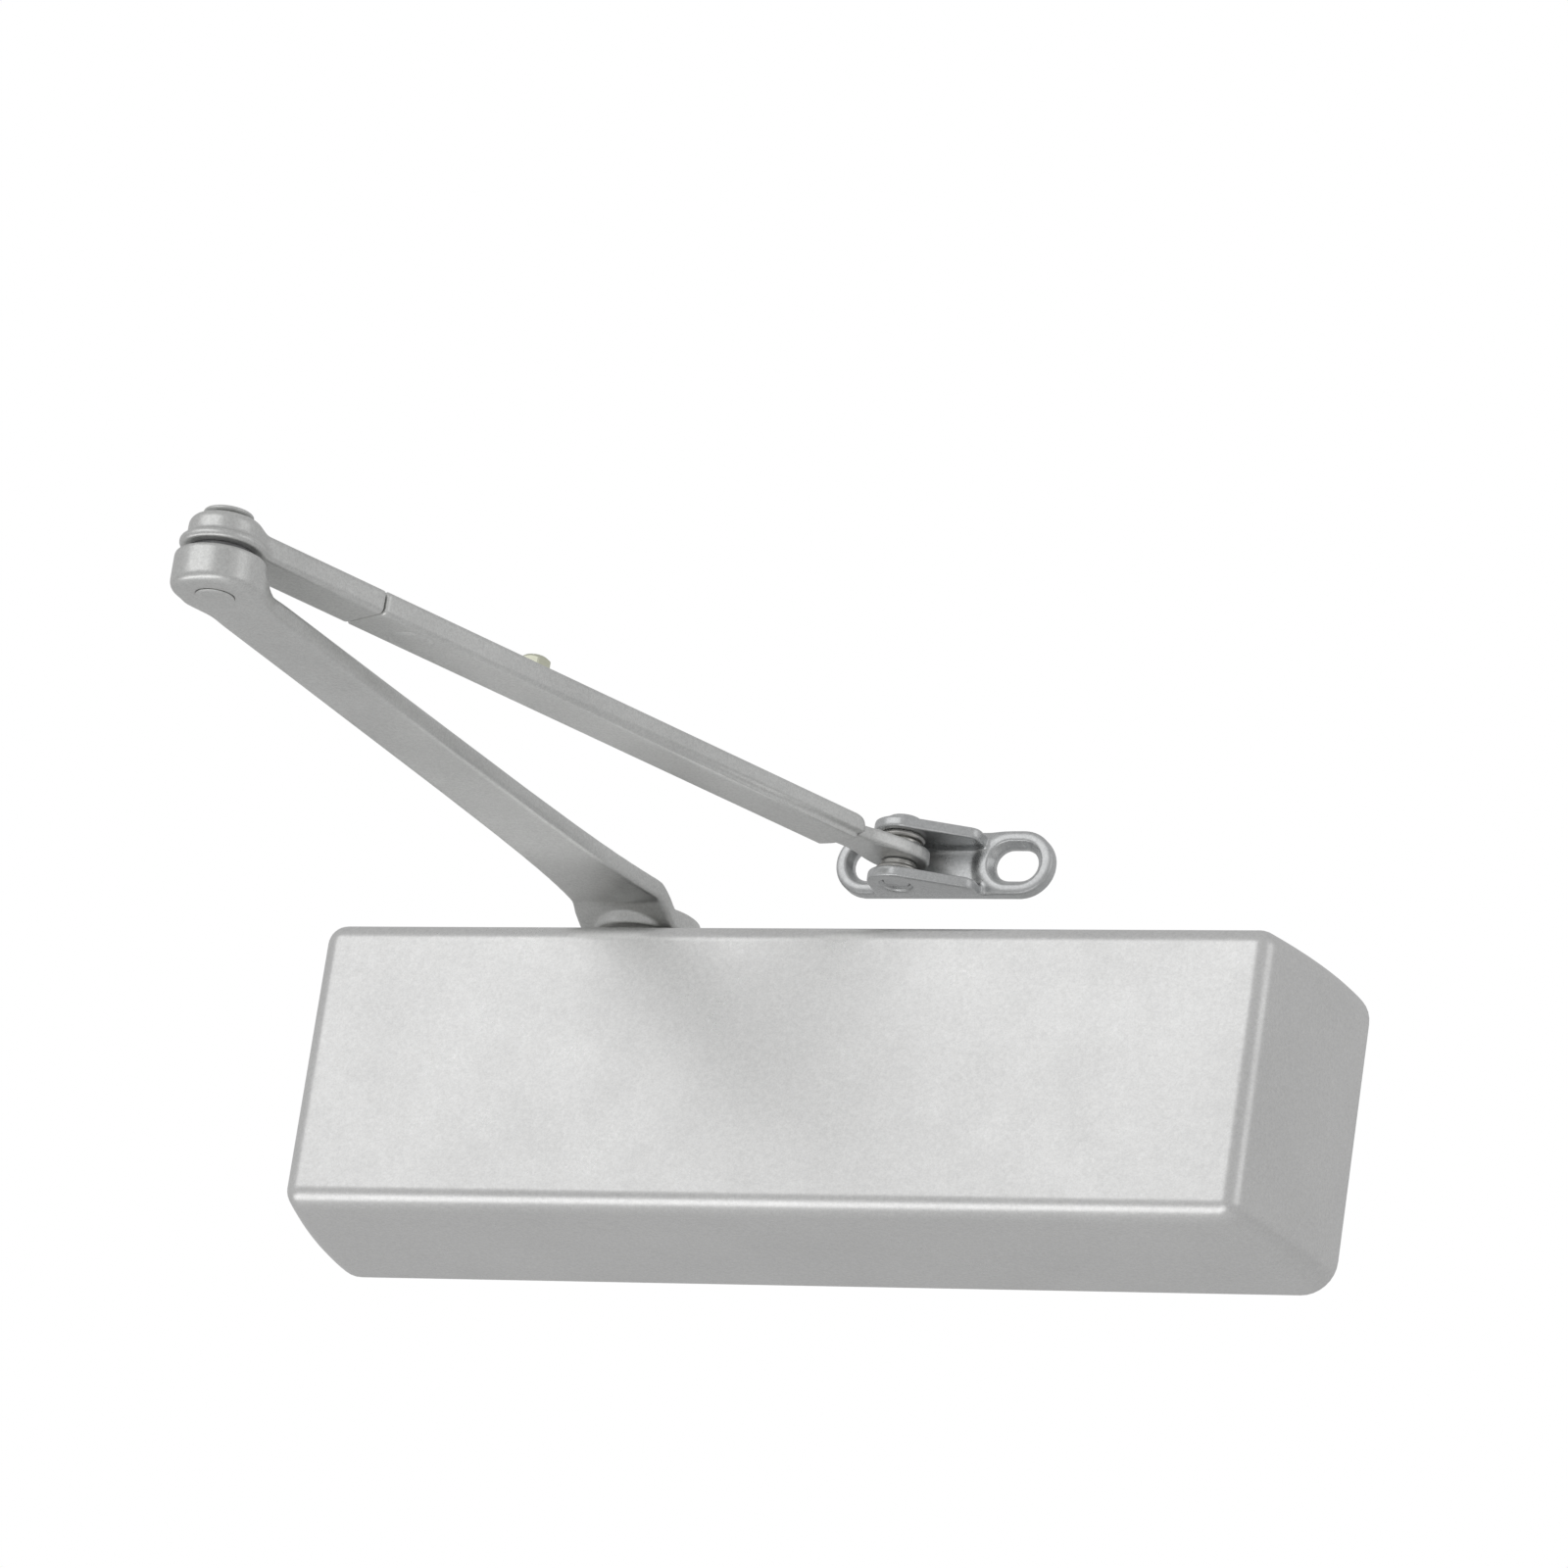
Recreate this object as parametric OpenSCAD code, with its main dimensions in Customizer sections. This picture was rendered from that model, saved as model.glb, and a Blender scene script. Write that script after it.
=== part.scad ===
// Surface-mounted hydraulic door closer with a full cover and a regular double-lever arm.
// Frame: the origin is the centre of the body's four-hole pattern on the mounting face (Y = 0),
// +X runs along the body, +Y points into the door and +Z runs up the pinion axis.

/* [Cover] */
// Length of the cover along X, at its back edge
cover_length = 311; // [308:1:320]
// Height of the cover along Z, at its back edge
cover_height = 91; // [90:0.2:93]
// Depth of the cover, from the door to its front face
cover_depth = 59.5; // [58.5:0.5:64]
// Wall thickness of the cover
cover_wall = 2.4; // [2:0.1:2.5]
// How far each end of the cover draws in from back to front
cover_end_draft = 8.6; // [6:0.2:9]
// How far its top and its underside draw in from back to front
cover_side_draft = 2; // [1:0.2:2.2]
// Radius of the rounding around the front face
cover_front_radius = 6; // [5:0.5:8]
// Radius of the cover's long corners at its back edge
cover_back_radius = 10; // [8:1:14]

/* [Body] */
// Radius of the cylinder bore
bore_radius = 19; // [18.5:0.1:19]
// Wall thickness of the cylinder
barrel_wall = 6; // [5:0.5:7]
// Hole to hole distance of the mounting pattern along X
mount_dx = 228.6; // [220:0.1:235]
// Hole to hole distance of the mounting pattern along Z
mount_dz = 60.4; // [58:0.2:62]
// Radius of the mounting holes
mount_hole_radius = 3.4; // [3:0.1:3.6]

/* [Gear] */
// Gear module of the pinion and the rack
gear_module = 2; // [1.9:0.05:2]
// Number of teeth on the pinion
pinion_teeth = 9; // [9:1:9]
// Pressure angle of the teeth
pressure_angle = 28; // [26:1:28]
// Radius of the pinion shaft
shaft_radius = 8; // [7.5:0.1:8]

/* [Arms] */
// Pivot to pivot length of the main arm
main_arm_length = 249.8; // [240:0.2:280]
// Direction of the main arm seen from above, from +X
main_arm_angle = -95.73; // [-120:0.01:-60]
// Height of the main arm's flat underside
main_arm_z = 55; // [54.5:0.5:57]
// Pivot to pivot length of the forearm as it is set
forearm_length = 259.8; // [257:0.2:287]
// Direction of the forearm seen from above, from +X
forearm_angle = 65.88; // [40:0.01:88]

/* [Shoe] */
// Distance between the centres of the shoe's two slots
slot_spacing = 43.8; // [43:0.2:46]
// End to end length of each slot
slot_length = 13.2; // [12.4:0.2:14]
// Width of each slot
slot_width = 9.8; // [8:0.2:10]

/* [Hidden] */
$fn = 64;

// Colours
silver_paint = [0.76, 0.77, 0.76];
casting_grey = [0.42, 0.43, 0.44];
bright_steel = [0.78, 0.78, 0.76];
dark_steel = [0.35, 0.36, 0.38];
zinc_yellow = [0.80, 0.78, 0.62];
seal_black = [0.06, 0.06, 0.06];

// Layout of the mechanism. The pinion axis crosses the axis of the cylinder bore.
pinion_x = -60;
axis_y = -27;
small_gap = 0.05;

// Barrel and its ends
barrel_radius = bore_radius + barrel_wall;
barrel_x0 = -132;
barrel_x1 = 130;
cap_depth = 12;
cap_radius = bore_radius + 2;
cap_flange = 6;
cap_flange_radius = barrel_radius - 1.5;
collar_radius = barrel_radius + 2;
collar_length = 14;
foot_radius = 10;
foot_depth = 9;
spine_x = 124;
spine_half = 12;
notch_radius = 17;

// Pinion bearings, counted up from the bore axis
turret_radius = 20;
turret_half = 38;
cup_z0 = 21;
cup_z1 = 31;
cup_outer = 12;
cup_inner = 11;
nut_radius = 15.5;
nut_flange_radius = 17.5;
nut_top = 41.2;
needle_count = 16;
needle_radius = 1.47;
needle_circle = (shaft_radius + cup_inner) / 2;

// Gear
pitch_radius = gear_module * pinion_teeth / 2;
base_radius = pitch_radius * cos(pressure_angle);
addendum = 0.8 * gear_module;
dedendum = 1.05 * gear_module;
tooth_pitch = PI * gear_module;
tooth_relief = 0.1;
gear_half = 10;
rack_half = 9.5;

// Piston, at its stop on the left
piston_x0 = -110.8;
piston_x1 = -26.8;
piston_radius = bore_radius - small_gap;
slot_x0 = -99.8;
slot_x1 = -46.8;
slot_back = 11.4;
spring_spigot = 10.8;

// Check valve in the piston's left head
ball_radius = 2.5;
ball_seat_x = -104.3;
ball_seat_radius = 1.6;
ball_x = ball_seat_x - sqrt(pow(ball_radius, 2) - pow(ball_seat_radius, 2)) - 0.02;

// Main spring and its adjuster
wire_radius = 2.8;
coil_radius = 14.2;
coils = 12;
steps_per_coil = 18;
wire_sides = 8;
spring_x0 = piston_x1 + 0.1;
spring_x1 = 99.9;
nut_x0 = 100;
nut_x1 = 108;
screw_radius = 5;
screw_x0 = 66;
screw_x1 = 141;
thrust_x0 = 113.8;
clip_x = barrel_x1 + cap_flange + 0.3;

// Regulating valves, in a rib on the front of the casting
valve_z = 24.5;
valve_face_y = -52.5;
valve_depth = 16;
valve_passage = 1.5;
rib_x0 = -126;
rib_x1 = -20;
rib_z0 = 12;
rib_z1 = 31;
valve_bore = 3.5;
valve_x = [-98, -112, -34];
valve_ring_y = -46;

// Cover fixing posts
post_x = 90;
post_y = -20;
post_top = 42.2;
post_radius = 5;
cover_screw_radius = 1.7;
cover_screw_head = 4;
cover_top_at_post = 45.3;

// Main arm
web = 5.5;
hub_radius = 15.8;
hub_z0 = 49.5;
hub_z1 = 56.5;
collar_z = 46.5;
square_side = 12.4;
ramp_angle = 35;
fold_x = 18.6;
ramp_x0 = fold_x - (main_arm_z - hub_z0) / tan(ramp_angle);
boss_radius = 12.7;
boss_height = 11;
rivet_radius = 5;

// Forearm
bar_width = 16.4;
bar_height = 7;
bar_z = main_arm_z + 12.9;
tube_wall = 1.4;
tube_side = 2.3;
tube_x0 = 52.2;
tube_x1 = 238;
tongue_x1 = 78;
rod_x0 = 82;
rod_width = bar_width - 2 * tube_side - 0.2;
rod_height = bar_height - 2 * tube_wall - 0.2;
rod_z = bar_z + tube_wall + 0.1;
clamp_x = 114.2;
// The clamp screw is backed off this far, so the rod slides under it
clamp_backoff = 0.3;
forearm_rivet_x = 69.6;
eye_radius = 8.5;
rod_flat = 17.5;
eye_z0 = main_arm_z + 14.7;
eye_z1 = main_arm_z + 19.1;
drum_radius = 10.3;
drum_top = main_arm_z + 22;
rivet_head_z = 22.9;

// Pivot positions
elbow_x = pinion_x + main_arm_length * cos(main_arm_angle);
elbow_y = axis_y + main_arm_length * sin(main_arm_angle);
shoe_x = elbow_x + forearm_length * cos(forearm_angle);
shoe_y = elbow_y + forearm_length * sin(forearm_angle);
shoe_z = main_arm_z + 7.6;

// Shoe, measured from its pivot and from the underside of its lower ear
shoe_back = 13;
shoe_height = 19.6;
shoe_base = 0.9;
shoe_web = 3.2;
shoe_pad = 4;
ear = 3.4;
ear_top = 18.6;
nose_radius = 8.5;
slot_left = -12.2;
shoe_end_left = -23.6;
shoe_end_right = slot_left + slot_spacing + 11.6;
shoe_pad_length = 22.4;
ear_root_x = 22.5;
ear_root_y = 2.2;
ear_edge_angle = 35;
shoe_rivet_radius = 4;

// Helpers
module along_x(x) translate([x, axis_y, 0]) rotate([0, 90, 0]) children();
module at_pinion() translate([pinion_x, axis_y, 0]) children();
module mirror_pair_z() {
    children();
    mirror([0, 0, 1]) children();
}
module ring(outer, inner, height) difference() {
    cylinder(r = outer, h = height);
    translate([0, 0, -1]) cylinder(r = inner, h = height + 2);
}
module torus(centre, section) rotate_extrude() translate([centre, 0]) circle(r = section, $fn = 24);
module block(x0, x1, y0, y1, z0, z1) translate([x0, y0, z0]) cube([x1 - x0, y1 - y0, z1 - z0]);
module on_main_arm() at_pinion() rotate([0, 0, main_arm_angle]) children();
module at_elbow() translate([elbow_x, elbow_y, 0]) rotate([0, 0, forearm_angle]) children();
module at_shoe() translate([shoe_x, shoe_y, shoe_z]) children();
module stadium(x0, x1, radius, height) {
    for (x = [x0 + radius, x1 - radius]) translate([x, 0, 0]) cylinder(r = radius, h = height);
    block(x0 + radius, x1 - radius, -radius, radius, 0, height);
}

// Involute teeth
function inv(a) = tan(a) * 180 / PI - a;
function half_angle(r) = 90 / pinion_teeth - tooth_relief / pitch_radius * 180 / PI
    + inv(pressure_angle) - inv(acos(min(1, base_radius / r)));
function on_circle(r, a) = [r * cos(a), r * sin(a)];
root_radius = pitch_radius - dedendum;
tip_radius = pitch_radius + addendum;
flank_steps = 5;
flank = [for (i = [0:flank_steps]) base_radius + (tip_radius - base_radius) * i / flank_steps];
function tooth(a) = concat(
    [on_circle(root_radius, a - half_angle(base_radius))],
    [for (r = flank) on_circle(r, a - half_angle(r))],
    [for (i = [flank_steps:-1:0]) on_circle(flank[i], a + half_angle(flank[i]))],
    [on_circle(root_radius, a + half_angle(base_radius))]
);
function all_teeth() = [for (i = [0:pinion_teeth - 1]) each tooth(-90 + i * 360 / pinion_teeth)];

// Cover: an open-backed shell whose walls bow in towards the front
cover_bow = 1.6;
wall_steps = 6;
front_steps = 6;
corner_steps = 6;
front_centre = cover_front_radius - cover_depth;
function fraction(y) = max(0, y / front_centre);
// How far a wall stands in from the back edge's outline at depth y
function lean(draft) = atan(draft * cover_bow / -front_centre);
function wall_in(y, draft, r) = let (turn = front_centre - r * sin(lean(draft)))
    draft * pow(fraction(max(y, turn)), cover_bow)
    + (y < turn ? r * (cos(lean(draft)) - sqrt(max(0, 1 - pow((front_centre - y) / r, 2)))) : 0);
function corner_at(y, shrink) = let (r = cover_front_radius - shrink)
    y > front_centre
    ? cover_back_radius + (cover_front_radius - cover_back_radius) * fraction(y) - shrink
    : max(0.3, r * sqrt(max(0, 1 - pow((front_centre - y) / r, 2))));
function cover_ring(y, shrink) = let (
    r = cover_front_radius - shrink,
    half_l = cover_length / 2 - shrink - wall_in(y, cover_end_draft, r),
    half_h = cover_height / 2 - shrink - wall_in(y, cover_side_draft, r),
    corner = corner_at(y, shrink))
    [for (q = [0:3], k = [0:corner_steps]) let (
        a = 90 * (q + k / corner_steps),
        sx = q == 0 || q == 3 ? 1 : -1,
        sz = q < 2 ? 1 : -1)
        [sx * (half_l - corner) + corner * cos(a), y, sz * (half_h - corner) + corner * sin(a)]];
function cover_depths(shrink, back) = concat(
    [for (k = [0:wall_steps]) back + (front_centre - back) * k / wall_steps],
    [for (k = [1:front_steps]) front_centre - (cover_front_radius - shrink) * sin(90 * k / front_steps)]
);
ring_size = 4 * (corner_steps + 1);
last_ring = wall_steps + front_steps;
module cover_form(shrink, back) polyhedron(
    [for (y = cover_depths(shrink, back)) each cover_ring(y, shrink)],
    concat(
        [[for (k = [0:ring_size - 1]) k]],
        [for (n = [0:last_ring - 1], k = [0:ring_size - 1])
            let (j = (k + 1) % ring_size, a = n * ring_size, b = a + ring_size)
            each [[a + j, a + k, b + k], [a + j, b + k, b + j]]],
        [[for (k = [ring_size - 1:-1:0]) last_ring * ring_size + k]]
    )
);
module cover() color(silver_paint) difference() {
    cover_form(0, 0);
    cover_form(cover_wall, 1);
    // Notch that clears the pinion, open to the back edge
    at_pinion() translate([0, 0, turret_half]) cylinder(r = notch_radius, h = 12);
    block(pinion_x - notch_radius, pinion_x + notch_radius, axis_y, 2, turret_half, turret_half + 12);
    for (sx = [-1, 1]) translate([sx * post_x, post_y, turret_half])
        cylinder(r = cover_screw_radius + 0.5, h = 12);
}
module cover_screws() color(bright_steel) for (sx = [-1, 1]) translate([sx * post_x, post_y, 0])
    difference() {
        union() {
            translate([0, 0, 33]) cylinder(r = cover_screw_radius, h = cover_top_at_post - 33);
            translate([0, 0, cover_top_at_post]) cylinder(r = cover_screw_head, h = 1.2);
            translate([0, 0, cover_top_at_post + 1.2]) cylinder(r1 = cover_screw_head, r2 = 2.6, h = 0.9);
        }
        translate([-3, -0.5, cover_top_at_post + 1.1]) cube([6, 1, 2]);
    }

// Body casting
module feet() for (sx = [-1, 1]) {
    x = sx * mount_dx / 2;
    block(x - foot_radius, x + foot_radius, -foot_depth, 0, -mount_dz / 2, mount_dz / 2);
    for (sz = [-1, 1]) translate([x, 0, sz * mount_dz / 2]) rotate([90, 0, 0])
        cylinder(r = foot_radius, h = foot_depth);
}
module barrel() {
    along_x(barrel_x0) cylinder(r = barrel_radius, h = barrel_x1 - barrel_x0);
    for (x = [barrel_x0, barrel_x1 - collar_length]) along_x(x)
        cylinder(r = collar_radius, h = collar_length);
}
module valve_rib() block(rib_x0, rib_x1, valve_face_y, -38, rib_z0, rib_z1);
module posts() for (sx = [-1, 1]) translate([sx * post_x, post_y, 12])
    cylinder(r = post_radius, h = post_top - 12);
module pinion_bores() at_pinion() mirror_pair_z() {
    cylinder(r = 9.2, h = cup_z0 + 1);
    translate([0, 0, cup_z0]) cylinder(r = cup_outer, h = cup_z1);
    translate([0, 0, cup_z1]) cylinder(r = nut_radius, h = cup_z1);
}
module valve_bores() {
    for (x = valve_x) {
        translate([x, valve_face_y, valve_z]) rotate([-90, 0, 0]) cylinder(r = valve_bore, h = valve_depth);
        translate([x, -38.5, 13]) cylinder(r = valve_passage, h = valve_z - 13);
    }
    translate([valve_x[1], -42, valve_z]) rotate([0, 90, 0])
        cylinder(r = valve_passage, h = valve_x[2] - valve_x[1]);
}
module body_casting() color(casting_grey) difference() {
    union() {
        barrel();
        block(-spine_x, spine_x, -foot_depth, 0, -spine_half, spine_half);
        feet();
        valve_rib();
        posts();
        at_pinion() translate([0, 0, -turret_half]) cylinder(r = turret_radius, h = 2 * turret_half);
    }
    along_x(barrel_x0 - 1) cylinder(r = bore_radius, h = barrel_x1 - barrel_x0 + 2);
    along_x(barrel_x0 - 1) cylinder(r = cap_radius, h = cap_depth + 1);
    along_x(barrel_x1 - cap_depth) cylinder(r = cap_radius, h = cap_depth + 1);
    pinion_bores();
    valve_bores();
    for (sx = [-1, 1], sz = [-1, 1]) translate([sx * mount_dx / 2, 1, sz * mount_dz / 2])
        rotate([90, 0, 0]) cylinder(r = mount_hole_radius, h = 12);
    for (sx = [-1, 1]) translate([sx * post_x, post_y, 32])
        cylinder(r = cover_screw_radius + small_gap, h = 12);
}

// End caps, written with the flange outside and the spigot running inwards along +Z
module cap_form() {
    translate([0, 0, -cap_flange]) cylinder(r = cap_flange_radius, h = cap_flange);
    difference() {
        cylinder(r = cap_radius - 0.02, h = cap_depth);
        translate([0, 0, 5]) ring(cap_radius + 1, cap_radius - 2.05, 2.2);
    }
}
module cap_oring() torus(cap_radius - 1.04, 0.98);
module left_end_cap() color(bright_steel) along_x(barrel_x0) difference() {
    cap_form();
    translate([0, 0, -cap_flange - 1]) cylinder(r = 7, h = 5, $fn = 6);
}
module right_end_cap() color(bright_steel) along_x(barrel_x1) mirror([0, 0, 1]) difference() {
    cap_form();
    translate([0, 0, -cap_flange - 1]) cylinder(r = screw_radius + small_gap, h = 22);
    for (sy = [-1, 1]) translate([0, sy * 14, -cap_flange - 1]) cylinder(r = 2.5, h = 5);
}
module left_cap_oring() color(seal_black) along_x(barrel_x0 + 6.1) cap_oring();
module right_cap_oring() color(seal_black) along_x(barrel_x1 - 6.1) cap_oring();

// Pinion bearings, seals and nuts
module bearing_nut() at_pinion() difference() {
    union() {
        translate([0, 0, cup_z1]) cylinder(r = nut_radius - 0.02, h = nut_top - cup_z1);
        translate([0, 0, turret_half]) cylinder(r = nut_flange_radius, h = nut_top - turret_half);
    }
    translate([0, 0, cup_z1 - 1]) cylinder(r = shaft_radius + 0.4, h = 20);
    translate([0, 0, cup_z1 + 3.5]) cylinder(r = cup_outer, h = 20);
    for (a = [0, 180]) rotate([0, 0, a]) translate([14.8, 0, nut_top - 2]) cylinder(r = 1.5, h = 4);
}
module bearing_cup() at_pinion() translate([0, 0, cup_z0]) ring(cup_outer - 0.02, cup_inner, cup_z1 - cup_z0);
module shaft_seal() at_pinion() translate([0, 0, cup_z1 + 3.5]) difference() {
    ring(cup_outer - 0.02, shaft_radius + 0.04, 5);
    translate([0, 0, 2.5]) ring(10.6, 9.1, 3);
}
module needles() at_pinion() for (i = [0:needle_count - 1]) rotate([0, 0, i * 360 / needle_count])
    translate([needle_circle, 0, cup_z0 + 0.6])
        cylinder(r = needle_radius, h = cup_z1 - cup_z0 - 1.2, $fn = 16);
module upper_bearing_nut() color(bright_steel) bearing_nut();
module lower_bearing_nut() color(bright_steel) mirror([0, 0, 1]) bearing_nut();
module upper_bearing_cup() color(bright_steel) bearing_cup();
module lower_bearing_cup() color(bright_steel) mirror([0, 0, 1]) bearing_cup();
module upper_shaft_seal() color(seal_black) shaft_seal();
module lower_shaft_seal() color(seal_black) mirror([0, 0, 1]) shaft_seal();
module upper_needles() color(bright_steel) needles();
module lower_needles() color(bright_steel) mirror([0, 0, 1]) needles();

// Pinion: teeth in the middle, a plain journal each way and a square on top
module pinion() color(bright_steel) at_pinion() difference() {
    union() {
        translate([0, 0, -gear_half]) linear_extrude(2 * gear_half) polygon(all_teeth());
        translate([0, 0, -nut_top]) cylinder(r = shaft_radius, h = nut_top - gear_half);
        translate([0, 0, gear_half]) cylinder(r = shaft_radius, h = 46 - gear_half);
        rotate([0, 0, main_arm_angle]) translate([-square_side / 2, -square_side / 2, 45])
            cube([square_side, square_side, hub_z1 - 45.2]);
    }
    translate([0, 0, 40]) cylinder(r = 3.4, h = 20);
}

// Piston with its integral rack on the front wall of the slot
module rack_tooth(x) {
    pitch_y = axis_y - pitch_radius;
    tip = tooth_pitch / 4 - addendum * tan(pressure_angle) - tooth_relief;
    root = tooth_pitch / 4 + dedendum * tan(pressure_angle) - tooth_relief;
    polygon([
        [x - root, pitch_y - dedendum - 0.5], [x + root, pitch_y - dedendum - 0.5],
        [x + root, pitch_y - dedendum], [x + tip, pitch_y + addendum],
        [x - tip, pitch_y + addendum], [x - root, pitch_y - dedendum]
    ]);
}
module piston() color(bright_steel) {
    difference() {
        union() {
            along_x(piston_x0) cylinder(r = piston_radius, h = piston_x1 - piston_x0);
            along_x(piston_x1) cylinder(r = spring_spigot, h = 10);
        }
        block(slot_x0, slot_x1, axis_y - pitch_radius - dedendum, axis_y + slot_back, -20, 20);
        along_x(piston_x0 - 1) cylinder(r = ball_radius + 0.3, h = ball_seat_x - piston_x0 + 1);
        along_x(ball_seat_x - 1) cylinder(r = ball_seat_radius, h = slot_x0 - ball_seat_x + 2);
    }
    translate([0, 0, -rack_half]) linear_extrude(2 * rack_half)
        for (k = [-6:1]) rack_tooth(pinion_x + (k + 0.5) * tooth_pitch);
}
module check_ball() color(bright_steel) translate([ball_x, axis_y, 0]) sphere(r = ball_radius, $fn = 48);
module check_ball_retainer() color(bright_steel) along_x(piston_x0) ring(ball_radius + 0.28, 1.4, 0.9);

// Main spring: a helix with one closed coil at each end
closed_pitch = 2 * wire_radius + 0.1;
open_pitch = (spring_x1 - spring_x0 - 2 * wire_radius - 2 * closed_pitch) / (coils - 2);
function advance(c) = c < 1 ? c * closed_pitch
    : c < coils - 1 ? closed_pitch + (c - 1) * open_pitch
    : closed_pitch + (coils - 2) * open_pitch + (c - coils + 1) * closed_pitch;
spring_rings = coils * steps_per_coil;
spring_points = [for (i = [0:spring_rings], j = [0:wire_sides - 1])
    let (turn = i * 360 / steps_per_coil, a = j * 360 / wire_sides,
         r = coil_radius + wire_radius * cos(a),
         x = spring_x0 + wire_radius + advance(i / steps_per_coil) + wire_radius * sin(a))
    [x, axis_y + r * cos(turn), r * sin(turn)]];
spring_faces = concat(
    [[for (j = [0:wire_sides - 1]) j]],
    [for (i = [0:spring_rings - 1], j = [0:wire_sides - 1])
        let (k = (j + 1) % wire_sides, a = i * wire_sides, b = a + wire_sides)
        each [[a + j, b + j, b + k], [a + j, b + k, a + k]]],
    [[for (j = [wire_sides - 1:-1:0]) spring_rings * wire_sides + j]]
);
module main_spring() color(dark_steel) polyhedron(spring_points, spring_faces);

// Power adjuster: the screw turns in the right cap and draws the nut along
module spring_adjust_nut() color(bright_steel) difference() {
    union() {
        along_x(nut_x0) cylinder(r = bore_radius - 0.4, h = nut_x1 - nut_x0);
        along_x(nut_x0 - 6) cylinder(r = spring_spigot, h = 6);
    }
    along_x(nut_x0 - 8) cylinder(r = screw_radius + small_gap, h = 20);
}
module power_adjust_screw() color(dark_steel) difference() {
    union() {
        along_x(screw_x0) cylinder(r = screw_radius, h = screw_x1 - screw_x0);
        along_x(thrust_x0) cylinder(r = 9, h = barrel_x1 - cap_depth - small_gap - thrust_x0);
    }
    along_x(clip_x - 0.1) ring(screw_radius + 1, 4.2, 1.3);
    along_x(screw_x1 - 5) cylinder(r = 2.9, h = 6, $fn = 6);
}
module adjust_screw_clip() color(dark_steel) along_x(clip_x) difference() {
    ring(7.5, 4.25, 1.1);
    translate([0, -1.5, -1]) cube([10, 3, 4]);
}

// Regulating valves
module valve(x) color(bright_steel) translate([x, valve_face_y, valve_z]) rotate([-90, 0, 0]) difference() {
    union() {
        translate([0, 0, -1]) cylinder(r = valve_bore - small_gap, h = 11);
        translate([0, 0, 10]) cylinder(r1 = valve_bore - small_gap, r2 = 0.8, h = 4.5);
    }
    translate([0, 0, valve_ring_y - valve_face_y - 0.7]) ring(valve_bore + 1, 2.4, 1.4);
    translate([0, 0, -2]) cylinder(r = 1.8, h = 4, $fn = 6);
}
module sweep_valve() valve(valve_x[0]);
module latch_valve() valve(valve_x[1]);
module backcheck_valve() valve(valve_x[2]);
module valve_orings() color(seal_black) for (x = valve_x)
    translate([x, valve_ring_y, valve_z]) rotate([90, 0, 0]) torus(2.95, 0.52);

// Main arm: a forged lever whose ramp drops to the hub
flare_steps = 14;
function arm_half(x) = 9.9 + 1.2 * (1 - x / main_arm_length) + 4 * exp(-(x - fold_x) / 26);
function arm_x(i) = fold_x + (main_arm_length - fold_x) * pow(i / flare_steps, 1.6);
arm_outline = concat(
    [[0, hub_radius]],
    [for (i = [0:flare_steps]) [arm_x(i), arm_half(arm_x(i))]],
    [for (i = [flare_steps:-1:0]) [arm_x(i), -arm_half(arm_x(i))]],
    [[0, -hub_radius]]
);
web_rise = web / cos(ramp_angle);
arm_side = [
    [0, hub_z0], [ramp_x0, hub_z0], [fold_x, main_arm_z], [main_arm_length, main_arm_z],
    [main_arm_length, main_arm_z + web],
    [ramp_x0 + (main_arm_z + web - web_rise - hub_z0) / tan(ramp_angle), main_arm_z + web],
    [ramp_x0 + (hub_z1 - web_rise - hub_z0) / tan(ramp_angle), hub_z1], [0, hub_z1]
];
module main_arm() color(silver_paint) on_main_arm() difference() {
    union() {
        intersection() {
            linear_extrude(100) polygon(arm_outline);
            translate([0, 50, 0]) rotate([90, 0, 0]) linear_extrude(100) polygon(arm_side);
        }
        translate([0, 0, hub_z0]) cylinder(r = hub_radius, h = hub_z1 - hub_z0);
        translate([0, 0, collar_z]) cylinder(r = 12, h = hub_z0 - collar_z + 1);
        translate([main_arm_length, 0, main_arm_z]) cylinder(r = boss_radius, h = boss_height);
    }
    translate([-square_side / 2 - small_gap, -square_side / 2 - small_gap, 40])
        cube([square_side + 2 * small_gap, square_side + 2 * small_gap, 30]);
    translate([main_arm_length, 0, main_arm_z - 1]) cylinder(r = rivet_radius, h = boss_height + 2);
}
module arm_washer() color(bright_steel) at_pinion() translate([0, 0, hub_z1]) ring(8.6, 3.6, 1.2);
module arm_screw() color(bright_steel) at_pinion() difference() {
    union() {
        translate([0, 0, 41]) cylinder(r = 3.38, h = hub_z1 + 1.2 - 41);
        translate([0, 0, hub_z1 + 1.2]) cylinder(r = 6.8, h = 3, $fn = 6);
    }
    translate([0, 0, hub_z1 + 3.2]) ring(9, 6, 2);
}
module elbow_rivet() color(silver_paint) at_elbow() translate([0, 0, main_arm_z]) {
    translate([0, 0, -0.6]) cylinder(r1 = 4.6, r2 = 5.6, h = 0.6);
    cylinder(r = rivet_radius - 0.01, h = rivet_head_z);
    translate([0, 0, rivet_head_z]) cylinder(r = 6.9, h = 1);
    translate([0, 0, rivet_head_z + 1]) cylinder(r1 = 6.9, r2 = 5.4, h = 0.8);
}
module elbow_washer() color(dark_steel) at_elbow() translate([0, 0, main_arm_z + boss_height])
    ring(9, rivet_radius + 0.02, bar_z - main_arm_z - boss_height - 0.1);

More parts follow.
